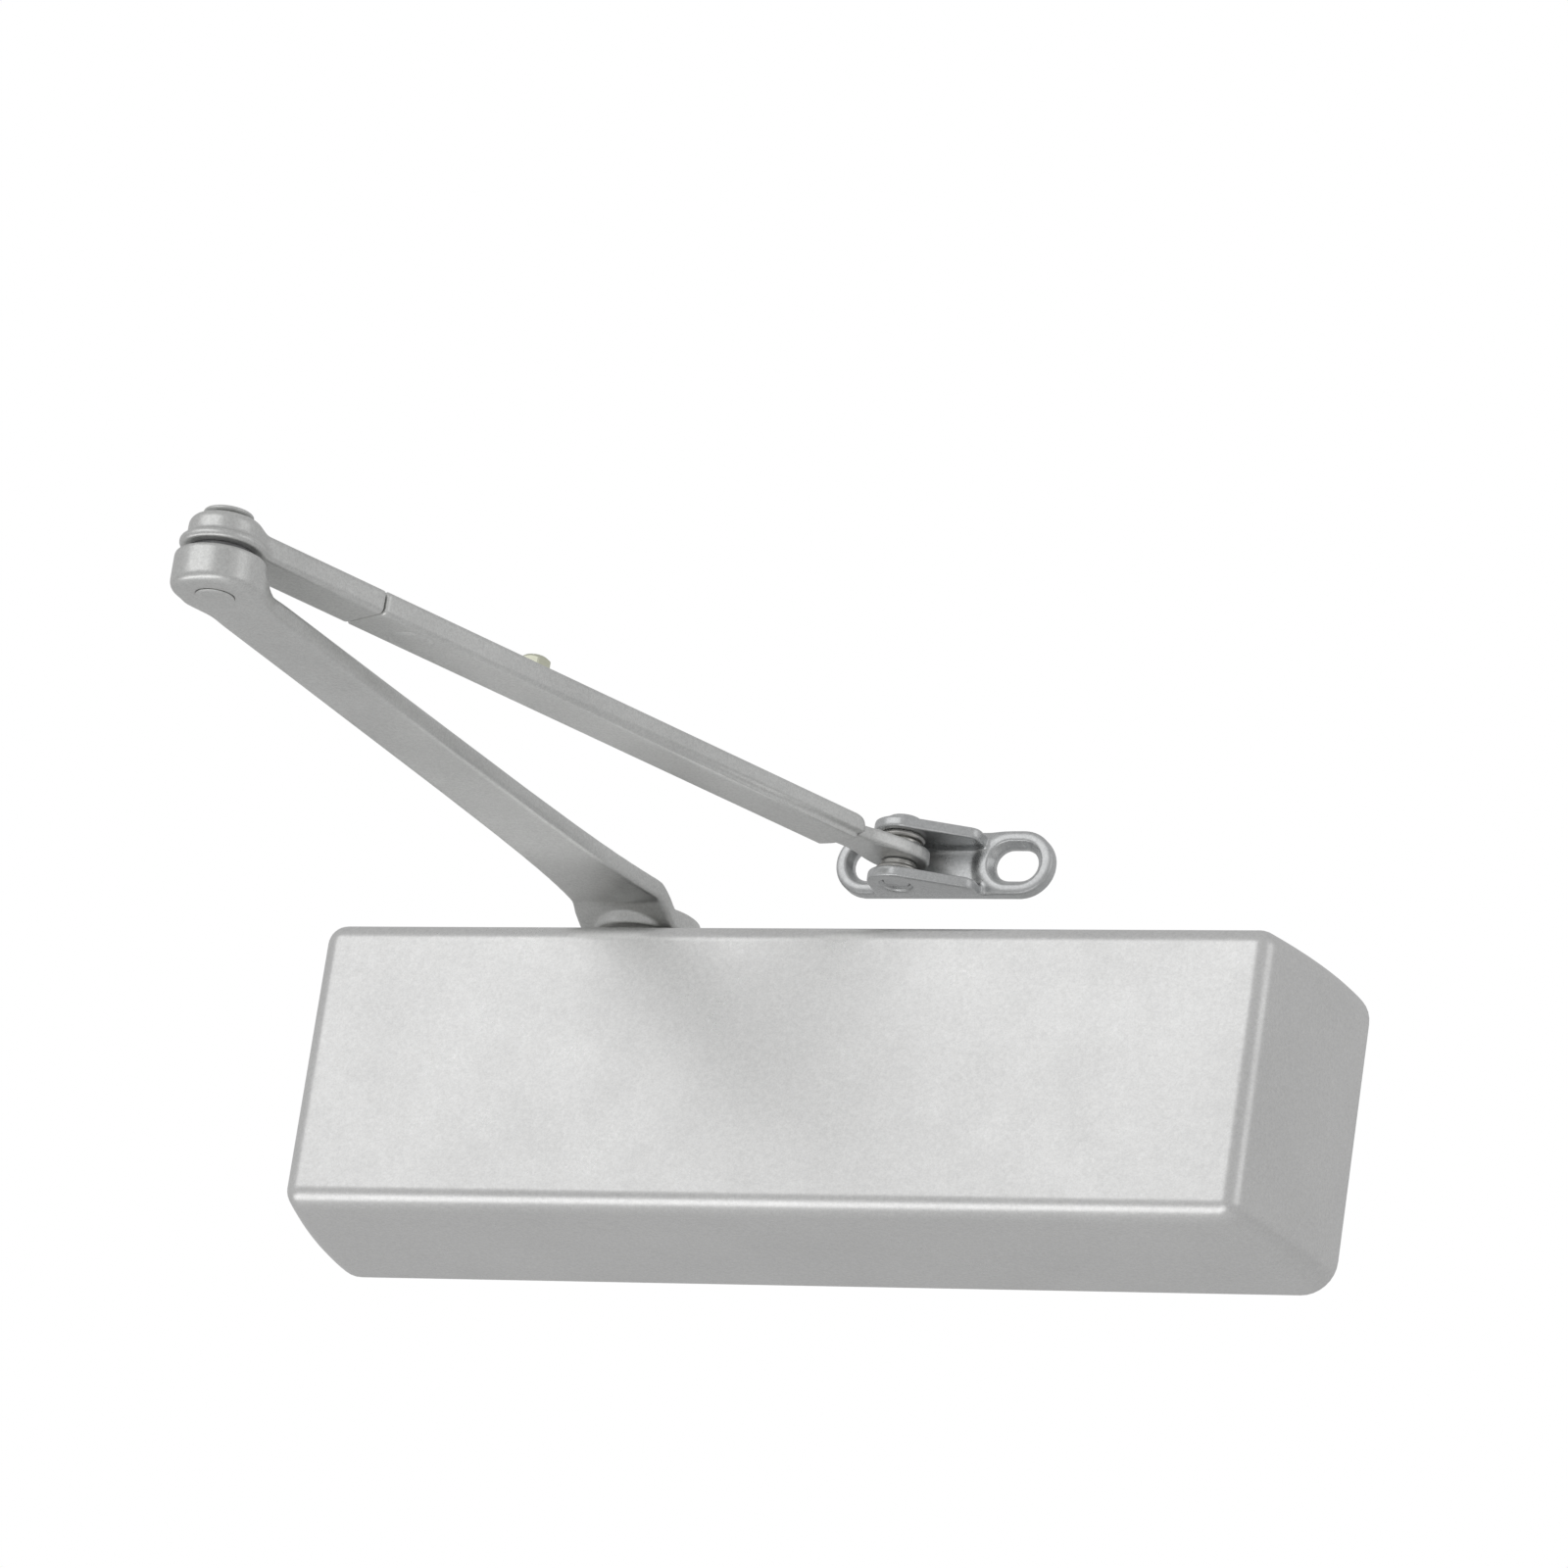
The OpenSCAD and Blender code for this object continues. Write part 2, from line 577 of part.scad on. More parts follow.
// Forearm
module forearm_elbow() color(silver_paint) at_elbow() difference() {
    union() {
        translate([0, 0, bar_z]) cylinder(r = 12.1, h = 2.7);
        translate([0, 0, bar_z]) cylinder(r = drum_radius, h = drum_top - bar_z - 0.8);
        translate([0, 0, drum_top - 0.8]) cylinder(r1 = drum_radius, r2 = drum_radius - 0.8, h = 0.8);
        block(0, tube_x0 - 0.4, -bar_width / 2, bar_width / 2, bar_z, bar_z + bar_height);
        block(
            tube_x0 - 1, tongue_x1, tube_side - bar_width / 2, bar_width / 2 - tube_side,
            bar_z + tube_wall, bar_z + bar_height - tube_wall
        );
    }
    translate([0, 0, main_arm_z + 10]) cylinder(r = rivet_radius + small_gap, h = 20);
    translate([forearm_rivet_x, 0, bar_z - 1]) cylinder(r = 3, h = bar_height + 2);
}
module forearm_tube() color(silver_paint) at_elbow() difference() {
    tube_blank();
    translate([forearm_rivet_x, 0, bar_z - 1]) cylinder(r = 3, h = bar_height + 2);
    translate([clamp_x, 0, bar_z + 5]) cylinder(r = 2.5, h = bar_height);
}
module tube_blank() difference() {
    block(tube_x0, tube_x1, -bar_width / 2, bar_width / 2, bar_z, bar_z + bar_height);
    block(
        tube_x0 - 1, tube_x1 + 1, tube_side - bar_width / 2, bar_width / 2 - tube_side,
        bar_z + tube_wall, bar_z + bar_height - tube_wall
    );
    // Clipped corner on the far side of the open end
    translate([tube_x1, bar_width / 2, bar_z - 1]) rotate([0, 0, 45]) translate([-3, -3, 0]) cube([6, 6, 12]);
}
module forearm_rivet() color(silver_paint) at_elbow() translate([forearm_rivet_x, 0, bar_z]) {
    translate([0, 0, -0.5]) cylinder(r1 = 6, r2 = 6.8, h = 0.5);
    cylinder(r = 2.99, h = bar_height);
    translate([0, 0, bar_height]) cylinder(r1 = 5, r2 = 4.2, h = 0.8);
}
module clamp_screw() color(zinc_yellow) at_elbow() translate([clamp_x, 0, bar_z + bar_height]) {
    translate([0, 0, clamp_backoff - tube_wall])
        cylinder(r = 2.5 - small_gap, h = tube_wall - clamp_backoff + 1);
    translate([0, 0, 0.3]) cylinder(r = 4.7, h = 4.2, $fn = 6);
}
module rod_outline() {
    polygon([
        [forearm_length - rod_flat, -rod_width / 2], [forearm_length - 3, -eye_radius + 0.5],
        [forearm_length - 3, eye_radius - 0.5], [forearm_length - rod_flat, rod_width / 2]
    ]);
    translate([forearm_length, 0]) circle(r = eye_radius);
}
module forearm_rod() color(silver_paint) at_elbow() difference() {
    union() {
        translate([0, 0, eye_z0]) linear_extrude(eye_z1 - eye_z0) rod_outline();
        block(
            rod_x0, forearm_length - rod_flat + 5, -rod_width / 2, rod_width / 2,
            rod_z, rod_z + rod_height
        );
    }
    translate([forearm_length, 0, eye_z0 - 1]) cylinder(r = shoe_rivet_radius + small_gap, h = 10);
}

// Shoe: a base with two countersunk slots and a pair of ears
module face_y(y) translate([0, y, shoe_base + shoe_height / 2]) rotate([90, 0, 0]) children();
module countersunk_slot(x) translate([x, 0, 0]) {
    half = (slot_length - slot_width) / 2;
    r = slot_width / 2;
    sink = 1.8;
    throat = 2;
    depth = shoe_pad - throat;
    face_y(shoe_back + 1) stadium(-half - r, half + r, r, shoe_pad + 2);
    for (s = [-1, 1]) translate([s * half, 0, 0]) face_y(shoe_back - throat)
        cylinder(r1 = r, r2 = r + sink, h = depth);
    translate([-half, shoe_back, shoe_base + shoe_height / 2]) rotate([90, 0, 90]) linear_extrude(2 * half)
        polygon([[-throat, r], [-shoe_pad, r + sink], [-shoe_pad, -r - sink], [-throat, -r]]);
}
module ear_plan() {
    circle(r = nose_radius);
    polygon([
        [-nose_radius, 0], [-10, shoe_back - 1], [ear_root_x, shoe_back - 1], [ear_root_x, ear_root_y],
        [nose_radius * sin(ear_edge_angle), -nose_radius * cos(ear_edge_angle)], [0, 0]
    ]);
}
module shoe() color(silver_paint) at_shoe() difference() {
    union() {
        face_y(shoe_back) stadium(shoe_end_left, shoe_end_right, shoe_height / 2, shoe_web);
        face_y(shoe_back) stadium(shoe_end_left, shoe_end_left + shoe_pad_length, shoe_height / 2, shoe_pad);
        face_y(shoe_back)
            stadium(shoe_end_right - shoe_pad_length, shoe_end_right, shoe_height / 2, shoe_pad);
        linear_extrude(ear) ear_plan();
        translate([0, 0, ear_top - ear]) linear_extrude(ear) ear_plan();
    }
    countersunk_slot(slot_left);
    countersunk_slot(slot_left + slot_spacing);
    translate([0, 0, -1]) cylinder(r = shoe_rivet_radius, h = 30);
    translate([0, 0, -0.01]) cylinder(r1 = 5.2, r2 = shoe_rivet_radius, h = 1.2);
}
module shoe_rivet() color(silver_paint) at_shoe() {
    translate([0, 0, 0.9]) cylinder(r = shoe_rivet_radius - 0.01, h = ear_top - 0.9);
    translate([0, 0, ear_top]) cylinder(r = 6.2, h = 1.2);
    translate([0, 0, ear_top + 1.2]) cylinder(r1 = 6.2, r2 = 4.8, h = 0.9);
}
module stepped_washer(flange, total) difference() {
    union() {
        cylinder(r = 6.8, h = flange);
        cylinder(r = 5.4, h = total);
    }
    translate([0, 0, -1]) cylinder(r = shoe_rivet_radius + 0.01, h = total + 2);
}
module shoe_washers() color(bright_steel) at_shoe() {
    translate([0, 0, ear]) stepped_washer(1.6, eye_z0 - shoe_z - ear - 0.2);
    translate([0, 0, ear_top - ear]) mirror([0, 0, 1])
        stepped_washer(1.5, ear_top - ear - eye_z1 + shoe_z - 0.2);
}

cover();
cover_screws();
body_casting();
left_end_cap();
right_end_cap();
left_cap_oring();
right_cap_oring();
upper_bearing_nut();
lower_bearing_nut();
upper_bearing_cup();
lower_bearing_cup();
upper_shaft_seal();
lower_shaft_seal();
upper_needles();
lower_needles();
pinion();
piston();
check_ball();
check_ball_retainer();
main_spring();
spring_adjust_nut();
power_adjust_screw();
adjust_screw_clip();
sweep_valve();
latch_valve();
backcheck_valve();
valve_orings();
main_arm();
arm_washer();
arm_screw();
elbow_rivet();
elbow_washer();
forearm_elbow();
forearm_tube();
forearm_rivet();
clamp_screw();
forearm_rod();
shoe();
shoe_rivet();
shoe_washers();
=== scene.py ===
import math

import bmesh
import bpy
import numpy as np
from mathutils import Matrix, Vector


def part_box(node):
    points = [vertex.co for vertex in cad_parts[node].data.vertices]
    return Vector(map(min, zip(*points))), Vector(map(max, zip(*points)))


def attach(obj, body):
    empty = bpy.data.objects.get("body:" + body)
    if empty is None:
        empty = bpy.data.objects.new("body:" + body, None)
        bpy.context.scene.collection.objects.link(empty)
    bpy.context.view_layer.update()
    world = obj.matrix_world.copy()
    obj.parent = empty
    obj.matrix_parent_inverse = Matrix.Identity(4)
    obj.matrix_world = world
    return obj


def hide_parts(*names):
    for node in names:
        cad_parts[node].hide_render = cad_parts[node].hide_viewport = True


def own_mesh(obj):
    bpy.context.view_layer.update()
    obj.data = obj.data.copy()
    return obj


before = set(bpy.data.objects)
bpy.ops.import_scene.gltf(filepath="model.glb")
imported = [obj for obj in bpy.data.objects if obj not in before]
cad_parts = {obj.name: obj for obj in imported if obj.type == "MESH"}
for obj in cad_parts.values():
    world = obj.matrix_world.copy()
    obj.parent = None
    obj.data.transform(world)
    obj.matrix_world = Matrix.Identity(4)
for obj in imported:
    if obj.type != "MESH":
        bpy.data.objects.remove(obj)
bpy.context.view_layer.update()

MM = 0.001

# ---------------------------------------------------------------- positions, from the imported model, in mm


def box_mm(node):
    lo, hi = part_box(node)
    return np.array(lo) / MM, np.array(hi) / MM


def centre_mm(node):
    lo, hi = box_mm(node)
    return (lo + hi) / 2


PINION = centre_mm("arm_washer")
ELBOW = centre_mm("elbow_washer")
SHOE = centre_mm("shoe_rivet")
ARM_LENGTH = float(np.hypot(*(ELBOW - PINION)[:2]))
ARM_ANGLE = math.atan2(*(ELBOW - PINION)[1::-1])
FOREARM_LENGTH = float(np.hypot(*(SHOE - ELBOW)[:2]))
FOREARM_ANGLE = math.atan2(*(SHOE - ELBOW)[1::-1])
HUB_Z0 = 49.5
HUB_Z1 = box_mm("arm_washer")[0][2]
BOSS_HEIGHT = 11
ARM_Z = box_mm("elbow_washer")[0][2] - BOSS_HEIGHT
BAR_Z = box_mm("forearm_tube")[0][2]
SHOE_Z = ARM_Z + 7.6
BORE_Y = centre_mm("piston")[1]


def frame_at(centre, angle=0.0):
    """World matrix of a local frame in mm, for vertices that are then scaled to metres."""
    return Matrix.Translation((centre[0] * MM, centre[1] * MM, 0)) @ Matrix.Rotation(angle, 4, "Z")


AT_PINION = frame_at(PINION)
ON_ARM = frame_at(PINION, ARM_ANGLE)
ON_FOREARM = frame_at(ELBOW, FOREARM_ANGLE)
AT_SHOE = frame_at(SHOE)

# ---------------------------------------------------------------- mesh helpers


def add_object(name, verts, faces, matrix=None, smooth=True):
    """A mesh object from vertices in mm, put in place by matrix."""
    mesh = bpy.data.meshes.new(name)
    mesh.from_pydata([tuple(c * MM for c in v) for v in verts], [], [list(f) for f in faces])
    if matrix is not None:
        mesh.transform(matrix)
    mesh.validate()
    mesh.update()
    bm = bmesh.new()
    bm.from_mesh(mesh)
    bmesh.ops.recalc_face_normals(bm, faces=bm.faces)
    bm.to_mesh(mesh)
    bm.free()
    for polygon in mesh.polygons:
        polygon.use_smooth = smooth
    obj = bpy.data.objects.new(name, mesh)
    bpy.context.scene.collection.objects.link(obj)
    return obj


def apply_modifiers(obj):
    graph = bpy.context.evaluated_depsgraph_get()
    mesh = bpy.data.meshes.new_from_object(obj.evaluated_get(graph))
    obj.modifiers.clear()
    obj.data = mesh
    return obj


def weighted(obj):
    """Flat faces keep flat shading right up to their rounded edges."""
    for edge in obj.data.edges:
        edge.use_edge_sharp = False
    modifier = obj.modifiers.new("weighted", "WEIGHTED_NORMAL")
    modifier.weight = 90
    modifier.keep_sharp = True
    return obj


def cut(obj, *cutters):
    for cutter in cutters:
        modifier = obj.modifiers.new("cut", "BOOLEAN")
        modifier.operation = "DIFFERENCE"
        modifier.solver = "EXACT"
        modifier.object = cutter
    apply_modifiers(obj)
    for cutter in cutters:
        bpy.data.objects.remove(cutter)
    return obj


def lathe(name, profile, matrix, segments=72):
    """Turns (radius, height) points, in mm, about the local Z axis. Points at radius 0 close the ends."""
    verts, faces, rings = [], [], []
    for r, h in profile:
        if r <= 1e-6:
            rings.append([len(verts)] * segments)
            verts.append((0, 0, h))
            continue
        rings.append(list(range(len(verts), len(verts) + segments)))
        for k in range(segments):
            a = 2 * math.pi * k / segments
            verts.append((r * math.cos(a), r * math.sin(a), h))
    closed = profile[0][0] > 1e-6
    pairs = list(zip(rings, rings[1:])) + ([(rings[-1], rings[0])] if closed else [])
    for lower, upper in pairs:
        for k in range(segments):
            j = (k + 1) % segments
            face = []
            for v in (lower[k], lower[j], upper[j], upper[k]):
                if v not in face:
                    face.append(v)
            if len(face) > 2:
                faces.append(face)
    return add_object(name, verts, faces, matrix)


def rounded(points, steps=5):
    """A profile whose corners are arcs: each point is (r, h, corner radius)."""
    out = []
    count = len(points)
    for i, (r, h, radius) in enumerate(points):
        here = np.array((r, h), float)
        before = np.array(points[i - 1][:2], float)
        after = np.array(points[(i + 1) % count][:2], float)
        if radius <= 0:
            out.append(tuple(here))
            continue
        u = (before - here) / np.linalg.norm(before - here)
        v = (after - here) / np.linalg.norm(after - here)
        half = math.acos(max(-1.0, min(1.0, float(u @ v)))) / 2
        reach = min(
            radius / math.tan(half),
            0.49 * np.linalg.norm(before - here),
            0.49 * np.linalg.norm(after - here),
        )
        r_here = reach * math.tan(half)
        centre = here + (u + v) / np.linalg.norm(u + v) * r_here / math.sin(half)
        start, end = here + u * reach - centre, here + v * reach - centre
        a0, a1 = math.atan2(start[1], start[0]), math.atan2(end[1], end[0])
        turn = (a1 - a0 + math.pi) % (2 * math.pi) - math.pi
        for k in range(steps + 1):
            a = a0 + turn * k / steps
            out.append((centre[0] + r_here * math.cos(a), centre[1] + r_here * math.sin(a)))
    return out


# ---------------------------------------------------------------- forms from distance fields


def either(a, b, r):
    """Union with a fillet of radius r where two surfaces cross."""
    return np.maximum(r, np.minimum(a, b)) - np.hypot(np.maximum(r - a, 0), np.maximum(r - b, 0))


def both(a, b, r):
    """Intersection with its edge rounded to radius r."""
    return np.minimum(-r, np.maximum(a, b)) + np.hypot(np.maximum(r + a, 0), np.maximum(r + b, 0))


def disc(x, y, cx, cy, r):
    return np.hypot(x - cx, y - cy) - r


def slab(v, lo, hi):
    return np.abs(v - (lo + hi) / 2) - (hi - lo) / 2


def capsule(a, b, a0, a1, b0, r):
    """A stadium between two centres on the line b = b0."""
    return np.hypot(np.maximum(np.maximum(a0 - a, a - a1), 0), b - b0) - r


def ease(v, lo, hi):
    t = np.clip((v - lo) / (hi - lo), 0, 1)
    return t * t * (3 - 2 * t)


def blur(field, sigma):
    """Gaussian blur with a radius in grid steps. It leaves flat faces where they are and rounds the edges."""
    reach = max(1, int(math.ceil(2.5 * sigma)))
    taps = np.exp(-0.5 * (np.arange(-reach, reach + 1) / sigma) ** 2)
    taps /= taps.sum()
    for axis in range(3):
        padded = np.pad(field, [(reach, reach) if k == axis else (0, 0) for k in range(3)], mode="edge")
        total = np.zeros_like(field)
        for k, w in enumerate(taps):
            index = [slice(None)] * 3
            index[axis] = slice(k, k + field.shape[axis])
            total += w * padded[tuple(index)]
        field = total
    return field


def surface(name, sdf, lo, hi, step, soft, matrix):
    """The surface where sdf(x, y, z) is zero, as one smooth quad mesh (surface nets).

    Edges are softened by about soft mm.
    """
    axes = [np.arange(lo[k] - 3 * step, hi[k] + 3 * step, step) for k in range(3)]
    field = sdf(*np.meshgrid(*axes, indexing="ij")).astype(np.float64)
    if soft > 0:
        field = blur(field, soft / step)
    inside = field < 0
    count = np.zeros(tuple(n - 1 for n in field.shape), int)
    corners = [(i, j, k) for i in (0, 1) for j in (0, 1) for k in (0, 1)]

    def part(a, corner):
        return a[tuple(slice(c, a.shape[n] - 1 + c) for n, c in enumerate(corner))]

    for corner in corners:
        count += part(inside, corner)
    cells = np.argwhere((count > 0) & (count < 8))
    index = -np.ones(count.shape, int)
    index[tuple(cells.T)] = np.arange(len(cells))
    total = np.zeros((len(cells), 3))
    hits = np.zeros(len(cells))
    for a in corners:
        for axis in range(3):
            if a[axis]:
                continue
            b = tuple(c + (n == axis) for n, c in enumerate(a))
            fa = field[tuple((cells + a).T)]
            fb = field[tuple((cells + b).T)]
            crossing = (fa < 0) != (fb < 0)
            t = np.where(crossing, fa / np.where(crossing, fa - fb, 1), 0)
            point = cells + np.array(a, float)
            point[:, axis] += t
            total += point * crossing[:, None]
            hits += crossing
    verts = np.array([a[0] for a in axes]) + total / hits[:, None] * step
    faces = []
    for axis in range(3):
        u, v = (axis + 1) % 3, (axis + 2) % 3
        first = [slice(None)] * 3
        second = [slice(None)] * 3
        first[axis], second[axis] = slice(0, -1), slice(1, None)
        a, b = inside[tuple(first)], inside[tuple(second)]
        crossing = np.argwhere(a != b)
        keep = (crossing[:, u] > 0) & (crossing[:, v] > 0)
        keep &= (crossing[:, u] < field.shape[u] - 1) & (crossing[:, v] < field.shape[v] - 1)
        crossing = crossing[keep]
        ring = []
        for du, dv in ((-1, -1), (0, -1), (0, 0), (-1, 0)):
            cell = crossing.copy()
            cell[:, u] += du
            cell[:, v] += dv
            ring.append(index[tuple(cell.T)])
        quads = np.stack(ring, 1)
        flip = ~a[tuple(crossing.T)]
        quads[flip] = quads[flip][:, ::-1]
        faces.append(quads)
    faces = np.concatenate(faces)
    mesh = bpy.data.meshes.new(name)
    mesh.from_pydata((verts * MM).tolist(), [], faces.tolist())
    mesh.transform(matrix)
    mesh.update()
    for polygon in mesh.polygons:
        polygon.use_smooth = True
    obj = bpy.data.objects.new(name, mesh)
    bpy.context.scene.collection.objects.link(obj)
    return obj


# ---------------------------------------------------------------- materials


def new_material(name):
    material = bpy.data.materials.new(name)
    material.use_nodes = True
    tree = material.node_tree
    tree.nodes.clear()
    output = tree.nodes.new("ShaderNodeOutputMaterial")
    shader = tree.nodes.new("ShaderNodeBsdfPrincipled")
    tree.links.new(shader.outputs[0], output.inputs[0])
    return material, tree, shader


def noise(tree, scale, detail=3.0, rough=0.55, stretch=None):
    coordinates = tree.nodes.new("ShaderNodeTexCoord")
    source = coordinates.outputs["Object"]
    if stretch is not None:
        mapping = tree.nodes.new("ShaderNodeMapping")
        mapping.inputs["Scale"].default_value = stretch
        tree.links.new(source, mapping.inputs["Vector"])
        source = mapping.outputs[0]
    texture = tree.nodes.new("ShaderNodeTexNoise")
    texture.inputs["Scale"].default_value = scale
    texture.inputs["Detail"].default_value = detail
    texture.inputs["Roughness"].default_value = rough
    tree.links.new(source, texture.inputs["Vector"])
    return texture.outputs["Fac"]


def flake_cells(tree, scale):
    coordinates = tree.nodes.new("ShaderNodeTexCoord")
    texture = tree.nodes.new("ShaderNodeTexVoronoi")
    texture.inputs["Scale"].default_value = scale
    tree.links.new(coordinates.outputs["Object"], texture.inputs["Vector"])
    split = tree.nodes.new("ShaderNodeSeparateColor")
    tree.links.new(texture.outputs["Color"], split.inputs[0])
    return split.outputs[0]


def spread(tree, value, lo, hi, from_lo=0.3, from_hi=0.7):
    node = tree.nodes.new("ShaderNodeMapRange")
    tree.links.new(value, node.inputs["Value"])
    node.inputs["From Min"].default_value = from_lo
    node.inputs["From Max"].default_value = from_hi
    node.inputs["To Min"].default_value = lo
    node.inputs["To Max"].default_value = hi
    return node.outputs["Result"]


def maths(tree, operation, a, b):
    node = tree.nodes.new("ShaderNodeMath")
    node.operation = operation
    for socket, value in zip(node.inputs, (a, b)):
        if isinstance(value, (int, float)):
            socket.default_value = value
        else:
            tree.links.new(value, socket)
    return node.outputs[0]


def tint(tree, colour, factor):
    """colour times a factor that varies over the surface."""
    node = tree.nodes.new("ShaderNodeVectorMath")
    node.operation = "SCALE"
    node.inputs[0].default_value = colour[:3]
    tree.links.new(factor, node.inputs["Scale"])
    return node.outputs[0]


def mix_colour(tree, factor, a, b):
    node = tree.nodes.new("ShaderNodeMix")
    node.data_type = "RGBA"
    tree.links.new(factor, node.inputs[0])
    for socket, value in zip((node.inputs[6], node.inputs[7]), (a, b)):
        if isinstance(value, tuple):
            socket.default_value = (*value[:3], 1)
        else:
            tree.links.new(value, socket)
    return node.outputs[2]


def bump(tree, shader, height, strength, distance):
    node = tree.nodes.new("ShaderNodeBump")
    node.inputs["Strength"].default_value = strength
    node.inputs["Distance"].default_value = distance
    tree.links.new(height, node.inputs["Height"])
    tree.links.new(node.outputs[0], shader.inputs["Normal"])


def edges(tree, lo, hi):
    geometry = tree.nodes.new("ShaderNodeNewGeometry")
    return spread(tree, geometry.outputs["Pointiness"], 0, 1, lo, hi)


def silver_paint(name, colour, rough, metallic, flake=0.10, orange_peel=0.25, cloud=0.05, wear=0.25):
    """Sprayed aluminium paint: flakes of differing tone, a faint orange peel and lighter rubbed edges."""
    material, tree, shader = new_material(name)
    flakes = spread(tree, flake_cells(tree, 2600), 1 - flake, 1 + flake, 0, 1)
    fine = spread(tree, noise(tree, 900, 4), 0.95, 1.05)
    clouds = spread(tree, noise(tree, 22, 3), 1 - cloud, 1 + cloud)
    tone = maths(tree, "MULTIPLY", maths(tree, "MULTIPLY", flakes, fine), clouds)
    painted = tint(tree, colour, tone)
    patchy = maths(tree, "MULTIPLY", noise(tree, 260, 4), wear)
    rubbed = maths(tree, "MULTIPLY", edges(tree, 0.53, 0.60), patchy)
    tree.links.new(mix_colour(tree, rubbed, painted, (0.82, 0.82, 0.80)), shader.inputs["Base Color"])
    broad = spread(tree, noise(tree, 60, 5), rough - 0.035, rough + 0.035)
    grain = spread(tree, noise(tree, 1500, 2), -0.03, 0.03)
    tree.links.new(maths(tree, "ADD", broad, grain), shader.inputs["Roughness"])
    shader.inputs["Metallic"].default_value = metallic
    shader.inputs["IOR"].default_value = 1.5
    bump(tree, shader, noise(tree, 700, 3), orange_peel, 0.00006)
    return material


def machined(name, colour, rough, metallic=1.0, stretch=(40, 40, 1400), dirt=0.12):
    """Turned or ground steel: fine lines along the surface, a little tarnish in the low spots."""
    material, tree, shader = new_material(name)
    lines = noise(tree, 1.0, 4, 0.6, stretch)
    tarnish = spread(tree, noise(tree, 120, 5), 1 - dirt, 1.0)
    tone = maths(tree, "MULTIPLY", spread(tree, lines, 0.93, 1.05), tarnish)
    worn = tint(tree, colour, tone)
    bright = tuple(min(1.0, c * 1.35 + 0.04) for c in colour)
    tree.links.new(mix_colour(tree, edges(tree, 0.52, 0.60), worn, bright), shader.inputs["Base Color"])
    lined = spread(tree, lines, rough - 0.06, rough + 0.06)
    patches = spread(tree, noise(tree, 220, 4), -0.04, 0.05)
    tree.links.new(maths(tree, "ADD", lined, patches), shader.inputs["Roughness"])
    shader.inputs["Metallic"].default_value = metallic
    bump(tree, shader, lines, 0.12, 0.00002)
    return material


def cast_metal(name, colour, rough):
    """Sand-cast and painted body: a pebbled skin with rubbed high spots."""
    material, tree, shader = new_material(name)
    pebble = noise(tree, 420, 5, 0.6)
    broad = noise(tree, 60, 4)
    tone = maths(tree, "MULTIPLY", spread(tree, pebble, 0.82, 1.12), spread(tree, broad, 0.9, 1.08))
    skin = tint(tree, colour, tone)
    rubbed = mix_colour(tree, edges(tree, 0.52, 0.62), skin, (0.5, 0.5, 0.5))
    tree.links.new(rubbed, shader.inputs["Base Color"])
    tree.links.new(spread(tree, pebble, rough - 0.08, rough + 0.12), shader.inputs["Roughness"])
    shader.inputs["Metallic"].default_value = 0.6
    bump(tree, shader, maths(tree, "ADD", pebble, broad), 0.5, 0.00025)
    return material


def rubber(name, colour):
    material, tree, shader = new_material(name)
    grain = noise(tree, 900, 3)
    tree.links.new(tint(tree, colour, spread(tree, grain, 0.75, 1.3)), shader.inputs["Base Color"])
    tree.links.new(spread(tree, noise(tree, 300, 3), 0.45, 0.7), shader.inputs["Roughness"])
    bump(tree, shader, grain, 0.3, 0.00003)
    return material


COVER_PAINT = silver_paint(
    "cover_silver_paint", (0.79, 0.79, 0.785), 0.32, 0.80, flake=0.045, orange_peel=0.15, cloud=0.03,
)
ARM_PAINT = silver_paint(
    "arm_silver_paint", (0.73, 0.735, 0.725), 0.36, 0.85, flake=0.07, orange_peel=0.3, cloud=0.07, wear=0.5,
)
SHOE_PAINT = silver_paint(
    "shoe_silver_paint", (0.65, 0.66, 0.665), 0.30, 0.9, flake=0.07, orange_peel=0.3, cloud=0.06, wear=0.5,
)
CAST = cast_metal("cast_body_grey", (0.20, 0.205, 0.21), 0.5)
BRIGHT = machined("bright_turned_steel", (0.62, 0.61, 0.59), 0.24)
DARK = machined("oiled_dark_steel", (0.16, 0.16, 0.165), 0.34)
ZINC = machined("yellow_zinc_plate", (0.80, 0.81, 0.66), 0.30, 0.9, dirt=0.08)
RUBBER = rubber("seal_rubber_black", (0.02, 0.02, 0.021))


def finish_piece(obj, body, material, slot, *nodes):
    obj.data.materials.clear()
    obj.data.materials.append(material)
    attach(obj, body)
    if nodes:
        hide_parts(*nodes)
    return obj


# ---------------------------------------------------------------- cover


def rounded_rectangle(hx, hz, r, y, arc_steps=8):
    points = []
    for sx, sz, start in ((1, 1, 0), (-1, 1, 90), (-1, -1, 180), (1, -1, 270)):
        for k in range(arc_steps + 1):
            a = math.radians(start + 90 * k / arc_steps)
            points.append((sx * (hx - r) + r * math.cos(a), y, sz * (hz - r) + r * math.sin(a)))
    return points


END_DRAFT, SIDE_DRAFT, COVER_FILLET, COVER_CORNER, BOW = 8.6, 2.0, 6.0, 10.0, 1.6
COVER_WALL, NOTCH_R = 2.4, 17.0


